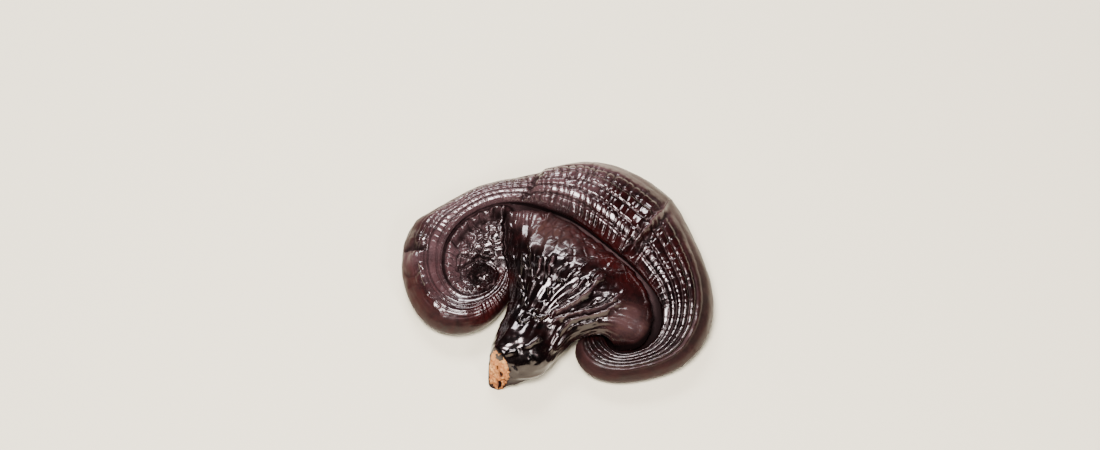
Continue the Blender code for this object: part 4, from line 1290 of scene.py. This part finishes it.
        distance, station, along = self.from_lip(places)
        first, last = self.ridge_stations
        curl = np.clip((last + 0.5 - station) / 0.5, 0, 1)
        narrow = np.clip((station - self.narrows_at + 0.4) / 0.8, 0, 1)
        broad_ribs = np.exp(-((distance - 3.2) / 1.9)**6)
        ribs = curl * ((1 - narrow) * broad_ribs + narrow * np.exp(-((distance - 1.9) / 1.0)**4))
        slope = curl * np.clip((distance - 5.0) / 0.8, 0, 1) * np.clip((17 - distance) / 4, 0, 1)
        # Painted shade: inside the curl, the valley behind the ridge and a strip by the lip; beyond the curl, the
        # crevice's bed near the lip
        valley = narrow * np.exp(-((distance - 4.0) / 1.2)**4) + np.exp(-((distance - 0.7) / 0.6)**4)
        dark = np.maximum(curl * valley, (1 - curl) * (distance < 4))
        ridges, creases = fold_heights(verts[:count], self.creases, 0.4, 71)
        verts[:count, 2] += ridges - creases
        none = np.zeros(count)
        marks = {
            "ring": np.concatenate([distance / 3.0 + 0.5, none]),
            "ring_width": np.full(2 * count, 0.1),
            "along": np.concatenate([along, none]),
            "ring_strength": np.concatenate([slope * 0.25, none]),
            "crack_strength": np.concatenate([ribs, none]),
            "craze_strength": np.concatenate([slope, none]),
            "lump_strength": np.concatenate([slope * 0.1, none]),
            # Painted shade in the creases and in the dark valleys and bed above
            "crease": np.concatenate([np.clip(np.maximum(creases * 0.8, dark), 0, 1), none]),
            "under": np.concatenate([none, none + 1]),
        }
        marks.update(CrustMarks().read(verts))
        return solid_object("cap_floor", verts, solid, marks)


@dataclass
class Growth:
    """The stem and the fan, which grew as one: rows across them from the cut end to the fan's edge."""

    steps_over: int = 330
    steps_under: int = 60
    rows: int = 360
    wrinkles: int = 13
    wrinkle_height: float = 0.3
    strength: tuple = ((0.0, 0.0), (1.2, 0.2), (2.0, 0.8), (2.6, 1.0), (3.4, 0.7), (4.0, 0.2))
    rim_drop: float = 3.5
    rim_highest: float = 11.0
    rim_rounding: float = 0.2
    rim_fall: float = 1.5
    rim_inset: float = 0.6
    folds: tuple = (
        Fold(((-13.7, 13.0), (-12.9, 9.8), (-12.0, 6.4)), 0.8, 0.8),
        Fold(((-10.8, 16.8), (-10.0, 8.8), (-9.6, 4.1)), 0.9, 0.7),
        Fold(((-6.5, 11.6), (-6.9, 6.4), (-7.9, 3.0)), 1.6, 0.75),
        Fold(((-0.5, 12.2), (-2.5, 7.6), (-3.6, 3.0)), 1.5, 0.75),
        Fold(((0.1, 3.0), (1.4, 1.6), (2.9, 0.8)), 0.9, 0.6),
        Fold(((-2.8, -0.4), (-3.1, -3.0), (-3.4, -6.2)), 1.1, 0.7),
        Fold(((11.5, 2.4), (7.5, -1.6), (3.5, -5.0)), 1.7, 0.7),
        Fold(((18.4, 4.7), (15.5, 1.3), (12.1, -2.7), (7.5, -6.7), (0.7, -10.2), (-3.4, -11.9)), 2.1, 1.0),
        Fold(((26.4, -1.6), (21.8, -6.2), (16.7, -9.0), (9.8, -10.7), (1.8, -13.0), (-3.4, -15.9)), 2.1, 0.9),
        Fold(((26.4, -6.2), (21.2, -9.0), (14.4, -11.9), (6.4, -13.6), (0.7, -19.3)), 1.9, 0.8),
        Fold(((17.8, -11.9), (13.2, -14.8), (7.5, -15.9), (2.9, -18.2)), 1.1, 0.8),
        Fold(((17.8, 6.4), (14.4, 3.6), (12.7, 0.2)), 1.0, 0.7),
        Fold(((8.6, 7.6), (5.2, 4.1), (3.6, 1.4)), 0.8, 0.7),
        Fold(((13.0, 9.5), (9.8, 7.0), (7.8, 4.2)), 0.6, 0.6),
        Fold(((-11.4, -10.5), (-13.7, -11.9), (-13.9, -14.2), (-11.4, -13.6), (-9.1, -11.9)), 1.0, 0.55),
        Fold(((-10.5, -11.0), (-7.4, -8.4), (-6.3, -6.2)), 0.9, 0.6),
        Fold(((-10.5, -11.2), (-6.4, -12.7), (-1.5, -10.6)), 1.0, 0.6),
        Fold(((-13.7, -24.5), (-9.6, -22.8), (-5.7, -19.3)), 1.2, 0.7),
        Fold(((-15.5, 0.5), (-13.2, -5.0), (-11.6, -9.5)), 0.9, 0.8),
        Fold(((-17.0, 16.0), (-16.6, 8.0), (-13.8, 1.0), (-12.4, -4.0)), 0.9, 0.8),
        Fold(((-18.3, 30.5), (-18.2, 26.0), (-18.4, 20.5)), 0.7, 0.6),
        Fold(((-15.6, 30.5), (-15.8, 27.0), (-16.4, 23.0)), 0.8, 0.6),
        Fold(((-12.7, 30.5), (-12.9, 27.5), (-13.6, 23.4)), 0.8, 0.65),
        Fold(((-9.6, 30.5), (-9.9, 27.5), (-10.7, 23.0)), 0.8, 0.6),
        Fold(((-6.2, 30.6), (-5.6, 28.0), (-5.1, 25.0)), 0.8, 0.6),
        Fold(((-2.4, 28.4), (-3.8, 25.6), (-5.6, 23.0)), 0.7, 0.55),
        Fold(((1.4, 26.6), (-0.8, 24.4), (-3.2, 22.0)), 0.6, 0.5),
        Fold(((6.4, 24.6), (3.4, 22.8), (0.6, 21.4)), 0.5, 0.5),
        Fold(((-2.2, -23.6), (-1.2, -25.2), (-0.6, -26.4)), 0.9, 0.8),
        Fold(((-10.6, -27.4), (-9.2, -28.8), (-8.2, -30.2)), 0.9, 0.8),
        Fold(((-17.2, -31.4), (-16.0, -32.8), (-14.8, -33.6)), 0.7, 0.7),
        Fold(((-19.6, -27.0), (-17.2, -25.6), (-14.8, -26.4)), 0.7, 0.7),
        Fold(((-3.5, 15.8), (2.3, 18.0), (7.4, 20.7)), 0.35, 0.35),
        Fold(((-1.0, 19.5), (4.5, 23.0), (6.5, 25.5)), 0.35, 0.35),
        Fold(((29.0, 8.6), (23.5, 9.6), (18.4, 5.8)), 0.5, 0.5),
        Fold(((15.0, -4.8), (10.0, -8.6), (2.0, -12.0)), -1.0, 0.7),
        Fold(((22.0, -3.8), (15.0, -8.0), (8.0, -9.4)), -1.0, 0.6),
        Fold(((22.5, -7.5), (14.0, -10.9), (3.0, -13.8)), -0.9, 0.6),
        Fold(((-8.8, 12.0), (-8.6, 6.0), (-8.9, 1.0)), -0.9, 0.9),
        Fold(((-4.6, 11.0), (-5.2, 5.0), (-5.8, 0.0)), -0.9, 0.8),
        Fold(((-12.0, 12.0), (-11.3, 8.0), (-10.8, 3.0)), -0.7, 0.7),
        Fold(((4.5, 8.5), (1.0, 5.0), (-1.5, -1.0)), -0.8, 0.9),
        Fold(((9.0, 2.5), (5.0, -2.5), (0.0, -7.0)), -0.8, 0.8),
        Fold(((14.6, 11.5), (20.0, 13.8), (26.5, 9.5)), -0.8, 0.6),
        Fold(((8.0, 15.5), (13.5, 17.5), (17.5, 14.0)), -0.5, 0.6),
    )

    def loops(self) -> np.ndarray:
        """The five given rows as closed loops of points."""
        over = np.linspace(0, 1, self.steps_over + 1)
        under = np.linspace(0, 1, self.steps_under + 1)[1:-1]
        loops = []
        for upper, lower in STEM_AND_FAN:
            top = spline(upper, over * (len(upper) - 1))
            bottom = spline(lower, under * (len(lower) - 1))
            loops.append(np.concatenate([top, bottom]))
        return np.array(loops)

    def build(self) -> bpy.types.Object:
        """Makes the whole growth's mesh, before it is parted at the neck."""
        loops = self.loops()
        rows = np.linspace(0, 4, self.rows)
        columns = loops.shape[1]
        grid = np.empty((len(rows), columns, 3))
        for column in range(columns):
            grid[:, column] = spline(loops[:, column], rows)
        over = np.linspace(0, 1, self.steps_over + 1)
        strength = np.interp(rows, *np.transpose(self.strength))
        side = np.sin(math.pi * over)**0.5
        wander = 0.5 * np.sin(rows * 2.3)
        ridge = np.sin(2 * math.pi * self.wrinkles * over[None] + wander[:, None])
        grid[:, :len(over), 2] += self.wrinkle_height * strength[:, None] * side * ridge

        middle = grid[-1].mean(axis=0)
        rounded = np.clip((rows - (4 - self.rim_rounding)) / self.rim_rounding, 0, 1)
        grid[:, :len(over), 2] -= self.rim_fall * (1 - np.sqrt(1 - 0.98 * rounded**2))[:, None]
        back = middle[:2] - grid[-1, :, :2]
        back = back / np.linalg.norm(back, axis=1)[:, None]
        inset = self.rim_inset * (1 + 0.8 * ripple(grid[-1, :, :2], 5.0, 9))
        grid[:, :, :2] += (rounded**2)[:, None, None] * (inset[:, None] * back)[None]
        rims = []
        for turn in np.linspace(0, 1, 13)[1:]:
            rim = grid[-1].copy()
            low = np.minimum(rim[:, 2] - self.rim_drop, self.rim_highest)
            rim[:, 2] += (low - rim[:, 2]) * turn
            rims.append(rim)
        grid = np.concatenate([grid, np.array(rims)])
        rows = np.concatenate([rows, np.full(len(rims), 4.0)])

        verts = grid.reshape(-1, 3)
        across = np.zeros(columns)
        across[:len(over)] = over
        across[len(over):] = np.linspace(1, 0, columns - len(over) + 2)[1:-1]
        on_top = np.zeros(columns)
        on_top[:len(over)] = np.clip(np.minimum(over, 1 - over) / 0.02, 0, 1)
        wrinkle = np.interp(rows, [0, 0.9, 1.6, 2.2, 3.0, 3.7, 4.0], [0.0, 0.0, 0.08, 0.15, 0.2, 0.25, 0.25])
        flat = seen(verts)
        smooth = patch_mask(flat, (Patch(31.0, -15.0, 9.5, 0.9), Patch(14.0, 16.0, 8.0, 0.6), Patch(-12.0, -2.0, 8.0, 0.5)))
        strength = (wrinkle[:, None] * on_top).ravel() * (1 - smooth)
        ridges, creases = fold_heights(verts, self.folds, 0.3, 23)
        top = np.tile(on_top, len(rows))
        verts[:, 2] += (ridges - creases) * top
        plates = patch_mask(flat, (Patch(12.0, 18.0, 9.0, 0.8), Patch(25.0, 7.0, 7.0, 0.8), Patch(-2.0, 22.0, 7.0, 0.5)))
        dull = patch_mask(flat, (
            Patch(-4.0, 21.5, 6.0, 0.95), Patch(4.0, 19.0, 5.0, 0.7), Patch(27.0, -14.0, 6.0, 0.8),
            Patch(33.0, -18.0, 5.0, 0.6), Patch(15.0, 15.0, 7.0, 0.4),
        ))
        # Painted shade: the fan's rim where it falls into the crevice, and its left flank
        rim_and_flank_shade = np.clip((rows - 3.94) / 0.05, 0, 1)[:, None] * np.ones(columns)
        flank = np.clip((0.045 - across) / 0.03, 0, 1)[None, :] * np.clip((rows - 1.5) / 0.5, 0, 1)[:, None]
        rim_and_flank_shade = np.maximum(rim_and_flank_shade, flank * 0.9).ravel()
        marks = {
            "across": np.tile(across, len(rows)),
            "down": np.repeat(rows, columns),
            "wrinkle_strength": strength,
            "craze_strength": plates * top,
            "lump_strength": np.repeat(np.interp(rows, [0, 1.5, 2.2, 4], [1.5, 1.0, 0.6, 0.8]), columns),
            # Painted shade in the fan's creases, at its rim and along its left flank
            "crease": np.maximum(np.clip(creases * 0.8, 0, 1) * top, rim_and_flank_shade),
            "satin": np.maximum(dull, np.repeat(rows < 1.6, columns) * np.clip((7.5 - verts[:, 2]) / 3, 0, 1)),
            "worn": dull * 0.7,
            "under": np.zeros(len(verts)),
        }
        marks.update(CrustMarks().read(verts))
        # Painted highlight: the pinkish-grey lightening is laid along the crests of the fan's ridges
        marks["bloom_and_sheen"] = np.maximum(marks["bloom_and_sheen"], 0.45 * np.clip((ridges - 0.8) / 0.8, 0, 1) * top)
        return solid_object("growth", verts, self.faces(len(rows), columns), marks)

    def faces(self, rows: int, columns: int) -> list[tuple[int, ...]]:
        """The quads of the loops, the cut end's face and the strip that closes the buried rim."""
        faces = loop_faces(rows, columns)[:-1]
        last = (rows - 1) * columns
        tops = self.steps_over + 1
        first = [last + i for i in range(tops)]
        second = [last] + [last + i for i in range(columns - 1, tops - 1, -1)] + [last + tops - 1]
        i = j = 0
        while i < len(first) - 1 or j < len(second) - 1:
            if (i + 1) / (len(first) - 1) <= (j + 1) / (len(second) - 1):
                face = (first[i], first[i + 1], second[j])
                i += 1
            else:
                face = (first[i], second[j + 1], second[j])
                j += 1
            if len(set(face)) == 3:
                faces.append(face)
        return faces


def part_at_neck(growth: bpy.types.Object) -> tuple[bpy.types.Object, bpy.types.Object]:
    """Parts the growth at the neck's plane.

    Args:
        growth: the stem and fan in one mesh.

    Returns:
        The stem and the fan, each closed at the neck.
    """
    place = Vector((NECK_DIRECTION * NECK_AT - MIDDLE) * MM)
    pieces = []
    for name, direction in (("stem_crust", Vector(NECK_DIRECTION)), ("cap_fan", -Vector(NECK_DIRECTION))):
        solid = bmesh.new()
        solid.from_mesh(growth.data)
        everything = solid.verts[:] + solid.edges[:] + solid.faces[:]
        made = bmesh.ops.bisect_plane(
            solid, geom=everything, plane_co=place, plane_no=direction, clear_outer=True, dist=1e-8
        )
        edges = [e for e in made["geom_cut"] if isinstance(e, bmesh.types.BMEdge)]
        closing = bmesh.ops.holes_fill(solid, edges=edges)["faces"]
        for face in closing:
            for edge in face.edges:
                edge.smooth = False
        mesh = bpy.data.meshes.new(name)
        solid.to_mesh(mesh)
        solid.free()
        for material in growth.data.materials:
            mesh.materials.append(material)
        piece = bpy.data.objects.new(name, mesh)
        bpy.context.scene.collection.objects.link(piece)
        pieces.append(piece)
    bpy.data.objects.remove(growth)
    return pieces[0], pieces[1]


class Crumbs:
    """The Geometry Nodes tree that sets loose crumbs of flesh on the cut end and joins them to it."""

    def __init__(self) -> None:
        """Builds the tree once."""
        tree = bpy.data.node_groups.new("crumbs", "GeometryNodeTree")
        self.tree = tree
        self.names: dict[str, str] = {}
        tree.interface.new_socket("Geometry", in_out="INPUT", socket_type="NodeSocketGeometry")
        for label, kind in (("Density", "Float"), ("Size", "Float"), ("Seed", "Int"), ("Finish", "Material")):
            socket = tree.interface.new_socket(label, in_out="INPUT", socket_type="NodeSocket" + kind)
            self.names[label] = socket.identifier
        tree.interface.new_socket("Geometry", in_out="OUTPUT", socket_type="NodeSocketGeometry")
        entry = tree.nodes.new("NodeGroupInput")
        body, density, size, seed, finish = [Wire(tree, socket) for socket in entry.outputs[:5]]

        rot = put(tree, "GeometryNodeInputNamedAttribute", Name="rot")
        points = put(tree, "GeometryNodeDistributePointsOnFaces", 0, Mesh=body, Density=density * rot, Seed=seed)
        grain = put(tree, "GeometryNodeMeshIcoSphere", Radius=1.0, Subdivisions=2)
        place = put(tree, "GeometryNodeInputPosition")
        dent = put(tree, "ShaderNodeTexNoise", "Color", Vector=place, Scale=1.4, Detail=2.0)
        centred = put(tree, "ShaderNodeVectorMath", 0, {"operation": "SUBTRACT"}, Vector=dent)
        centred.socket.node.inputs[1].default_value = (0.5, 0.5, 0.5)
        grain = put(tree, "GeometryNodeSetPosition", Geometry=grain, Offset=centred)
        spin = put(tree, "FunctionNodeRandomValue", 0, {"data_type": "FLOAT_VECTOR"}, Seed=seed)
        spin.socket.node.inputs["Max"].default_value = (6.28, 6.28, 6.28)
        big = put(tree, "FunctionNodeRandomValue", 0, {"data_type": "FLOAT_VECTOR"}, Seed=seed)
        big.socket.node.inputs["Min"].default_value = (0.35, 0.35, 0.3)
        big.socket.node.inputs["Max"].default_value = (1.3, 0.8, 0.6)
        scaled = put(tree, "ShaderNodeVectorMath", 0, {"operation": "SCALE"}, Vector=big, Scale=size)
        spread = put(tree, "GeometryNodeInstanceOnPoints", Points=points, Instance=grain, Rotation=spin,
                     Scale=scaled)
        real = put(tree, "GeometryNodeRealizeInstances", Geometry=spread)
        crumb_rot = put(tree, "GeometryNodeStoreNamedAttribute", 0, {"domain": "POINT"}, Geometry=real,
                        Name="rot", Value=0.55)
        joined = put(tree, "GeometryNodeJoinGeometry")
        for part in (crumb_rot, body):
            tree.links.new(part.socket, joined.socket.node.inputs[0])
        done = put(tree, "GeometryNodeSetMaterial", Geometry=joined, Material=finish)
        plug(tree, tree.nodes.new("NodeGroupOutput").inputs["Geometry"], done)

    def scatter(self, thing: bpy.types.Object, finish: bpy.types.Material, density: float, size: float,
                seed: int) -> None:
        """Sets crumbs on a piece and makes both one plain mesh.

        Args:
            thing: the piece, whose rot value says how many crumbs lie where.
            finish: the flesh.
            density: crumbs in a square metre.
            size: the crumbs' radius in metres.
            seed: the seed of their places.
        """
        modifier = thing.modifiers.new("crumbs", "NODES")
        modifier.node_group = self.tree
        values = {"Density": density, "Size": size, "Seed": seed, "Finish": finish}
        for label, value in values.items():
            modifier[self.names[label]] = value
        bake(thing)


@dataclass
class CutEnd:
    """The torn flesh at the stem's cut end: a ragged plug with pits, a three-cornered hole and a crumbly foot."""

    rings: int = 90
    columns: int = 320
    inset: float = 0.95
    ragged: float = 0.05
    depth: float = 3.0
    proud: float = 0.5
    foot_from: float = -28.0
    foot_reach: float = 8.0
    hole: tuple = ((-23.5, -27.6), (-21.0, -26.3), (-20.6, -28.6), (-22.1, -29.0))
    hole_depth: float = 2.6
    pits: tuple = (
        Fold(((-22.1, -32.8), (-21.6, -34.3), (-22.6, -35.4)), -1.1, 0.55),
        Fold(((-24.4, -33.6), (-24.0, -34.2)), -0.7, 0.5),
        Fold(((-22.6, -36.6), (-21.9, -38.4), (-22.9, -39.6)), -1.6, 0.7),
        Fold(((-20.6, -35.9), (-19.6, -36.6), (-19.0, -37.4)), -0.9, 0.4),
        Fold(((-25.6, -38.6), (-24.6, -39.4), (-25.2, -40.2)), -1.2, 0.6),
        Fold(((-25.8, -28.5), (-26.2, -31.0), (-26.4, -33.0)), -0.35, 0.4),
        Fold(((-24.2, -30.4), (-24.9, -32.2)), -0.35, 0.3),
    )
    lumps: int = 150
    lump_size: tuple = (0.25, 1.0)
    lump_height: tuple = (0.05, 0.4)
    seed: int = 11

    def outline(self) -> np.ndarray:
        """The cut end's loop."""
        over = np.linspace(0, 1, self.columns // 2 + 1)
        upper, lower = STEM_AND_FAN[0]
        top = spline(upper, over * (len(upper) - 1))
        bottom = spline(lower, over[1:-1] * (len(lower) - 1))
        return np.concatenate([top, bottom])

    def build(self) -> bpy.types.Object:
        """Makes the plug."""
        loop = self.outline()
        middle = loop.mean(axis=0)
        _, _, axes = np.linalg.svd(loop - middle)
        facing = axes[2] * (-1 if axes[2][1] > 0 else 1)
        uneven = self.inset + self.ragged * ripple(seen(loop), 1.6, 5)
        rim = (loop - middle) * uneven[:, None]
        shares = np.linspace(1, 0.015, self.rings) ** 0.8
        rows = [middle + rim - facing * self.depth]
        rows += [middle + rim * share for share in shares]
        verts = np.array(rows).reshape(-1, 3)
        height, pit, rot = self.relief(verts, np.repeat(np.concatenate([[1.2], shares]), len(loop)))
        verts = verts + facing * height[:, None]
        marks = {"pit": pit, "rot": rot}
        return solid_object("stem_cut_end", verts, loop_faces(len(rows), len(loop)), marks)

    def relief(self, places: np.ndarray, share: np.ndarray) -> tuple[np.ndarray, np.ndarray, np.ndarray]:
        """Lays out the torn surface.

        Args:
            places: the plug's points.
            share: how far out each one lies, 1 at the rim and more on the buried wall.

        Returns:
            The height, the pits, hole and hollows as a mask of painted shade, and how crumbly it is, at each place.
        """
        draw = np.random.default_rng(self.seed)
        flat = seen(places)
        rot = np.clip((self.foot_from - flat[:, 1]) / self.foot_reach, 0, 1)
        height = self.proud + (0.12 + 0.3 * rot) * ripple(flat, 1.5, 3) + (0.06 + 0.12 * rot) * ripple(flat, 0.6, 4)
        for _ in range(self.lumps):
            spot = places[draw.integers(len(places))]
            reach = np.exp(-((places - spot)**2).sum(axis=1) / draw.uniform(*self.lump_size)**2)
            height += draw.choice((-1.0, 0.8)) * draw.uniform(*self.lump_height) * reach * (0.25 + rot)
        _, pit = fold_heights(places, self.pits, 0.25, 77)
        hole = self.inside_hole(flat)
        height -= pit + self.hole_depth * hole
        edge = np.clip((share - 0.88) / 0.12, 0, 1)
        height = height * (1 - edge) - 0.35 * edge
        height[share > 1.1] = 0
        # Painted shade: the hollows of the crumbly foot join the pits and the hole in the dark mask
        hollow = np.clip(-(height - self.proud) * 0.8, 0, 1)
        return height, np.clip(np.maximum(pit * 0.9, hole) + hollow * rot * 0.5, 0, 1), rot

    def inside_hole(self, flat: np.ndarray) -> np.ndarray:
        """How deep in the hole each place of the picture lies, from 0 to 1."""
        corners = np.array(self.hole)
        inside = np.full(len(flat), np.inf)
        for a, b in zip(corners, np.roll(corners, -1, axis=0)):
            step = (b - a) / np.linalg.norm(b - a)
            inside = np.minimum(inside, (flat - a) @ (step[1], -step[0]))
        return np.clip((inside + 0.15) / 0.5, 0, 1)


class Mushroom:
    """The whole dried mushroom: builds each piece and hands it to the frame."""

    def __init__(self) -> None:
        """Makes the shared effects, finishes and relief."""
        groups = Effects()
        self.relief = CrustRelief()
        self.crust = Lacquer().make(groups)
        self.pores = PoreSurface().make(groups)
        self.flesh = CutFlesh().make(groups)

    def build(self) -> None:
        """Builds the cap's pieces and the stem's."""
        band = Band().build()
        self.relief.raise_on(band, self.crust, ring_depth=0.75, crack_depth=0.45, crack_spacing=2.5,
                             brick_lift=0.5, lump_height=0.5)
        self.add_pores(band)
        floor = CurlFloor().build()
        self.relief.raise_on(floor, self.crust, crack_depth=0.45, crack_spacing=2.6, brick_lift=0.35,
                             craze_depth=0.4, craze_width=0.11, plate_size=3.3, plate_lean=0.08, lump_height=0.25)
        self.add_pores(floor)
        growth = Growth().build()
        self.relief.raise_on(growth, self.crust, wrinkle_height=0.7, wrinkles_across=13.0, craze_depth=0.35,
                             plate_size=4.5, lump_height=0.5)
        stem, fan = part_at_neck(growth)
        cut_end = CutEnd().build()
        Crumbs().scatter(cut_end, self.flesh, density=1.6e6, size=0.00042, seed=8)

        self.hand_over(band, "cap")
        self.hand_over(floor, "cap")
        self.hand_over(fan, "cap")
        self.hand_over(stem, "stem")
        self.hand_over(cut_end, "stem")

    def add_pores(self, piece: bpy.types.Object) -> None:
        """Gives the faces underneath the pore surface."""
        mesh = piece.data
        mesh.materials.append(self.pores)
        under = np.empty(len(mesh.vertices), dtype=np.float32)
        mesh.attributes["under"].data.foreach_get("value", under)
        numbers = np.empty(len(mesh.polygons), dtype=np.int32)
        for polygon in mesh.polygons:
            numbers[polygon.index] = 1 if under[list(polygon.vertices)].mean() > 0.5 else 0
        mesh.polygons.foreach_set("material_index", numbers)

    def hand_over(self, piece: bpy.types.Object, node: str) -> None:
        """Rests a piece on the floor and rides it on the body, in place of its node."""
        places = np.empty(3 * len(piece.data.vertices), dtype=np.float32)
        piece.data.vertices.foreach_get("co", places)
        places[2::3] = np.maximum(places[2::3], 0)
        piece.data.vertices.foreach_set("co", places)
        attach(piece, ROOT)
        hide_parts(node)
        triangles = sum(len(polygon.vertices) - 2 for polygon in piece.data.polygons)
        log.info("%s stands for %s: %d triangles", piece.name, node, triangles)


@dataclass
class Studio:
    """The pale floor, the soft lights and the camera."""

    aim: tuple = (-2.89, 19.6, 11.7)
    elevation: float = 60.0
    distance: float = 2866.0
    lens: float = 240.0
    floor_size: float = 6000.0

    def build(self) -> None:
        """Makes the floor, the lights and the camera."""
        self.floor()
        self.light("key", (-130, -270, 1060), (430, 330), 36.0, (1.0, 0.985, 0.97))
        self.light("front_left", (-410, -760, 690), (230, 230), 6.0, (1.0, 0.985, 0.97))
        self.light("front_right", (520, -420, 800), (230, 230), 6.0, (1.0, 0.985, 0.97))
        self.light("window", (-120, 800, 760), (520, 230), 16.0, (0.97, 0.975, 1.0))
        world = bpy.data.worlds.new("soft_room")
        world.use_nodes = True
        world.node_tree.nodes["Background"].inputs["Color"].default_value = (0.95, 0.95, 1.0, 1.0)
        world.node_tree.nodes["Background"].inputs["Strength"].default_value = 0.03
        bpy.context.scene.world = world
        self.camera()

    def floor(self) -> None:
        """Lays the pale floor just under the mushroom."""
        mesh = bpy.data.meshes.new("floor")
        half = self.floor_size / 2 * MM
        mesh.from_pydata([(-half, -half, 0), (half, -half, 0), (half, half, 0), (-half, half, 0)], [], [(0, 1, 2, 3)])
        mesh.materials.append(PaleGround().make())
        ground = bpy.data.objects.new("floor", mesh)
        bpy.context.scene.collection.objects.link(ground)

    def light(self, name: str, place: tuple, size: tuple, power: float, colour: tuple) -> None:
        """Hangs one soft box that faces the mushroom."""
        lamp = bpy.data.lights.new(name, "AREA")
        lamp.shape = "RECTANGLE"
        lamp.size, lamp.size_y = size[0] * MM, size[1] * MM
        lamp.energy = power
        lamp.color = colour
        box = bpy.data.objects.new(name, lamp)
        at = Vector(place) * MM
        box.matrix_world = Matrix.Translation(at) @ (-at).to_track_quat("-Z", "Y").to_matrix().to_4x4()
        bpy.context.scene.collection.objects.link(box)

    def camera(self) -> None:
        """Sets the camera at the picture's viewing angle."""
        data = bpy.data.cameras.new("camera")
        data.lens = self.lens
        data.clip_end = 50.0
        tilt = math.radians(self.elevation)
        back = Vector((0, -math.cos(tilt), math.sin(tilt)))
        place = (Vector(self.aim) + back * self.distance) * MM
        viewer = bpy.data.objects.new("camera", data)
        turn = (-back).to_track_quat("-Z", "Y").to_matrix().to_4x4()
        viewer.matrix_world = Matrix.Translation(place) @ turn
        bpy.context.scene.collection.objects.link(viewer)
        bpy.context.scene.camera = viewer


def main() -> None:
    """Builds the mushroom and its studio."""
    logging.basicConfig(level=logging.INFO, format="%(name)s: %(message)s")
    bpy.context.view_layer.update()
    Mushroom().build()
    Studio().build()


if __name__ == "__main__":
    main()
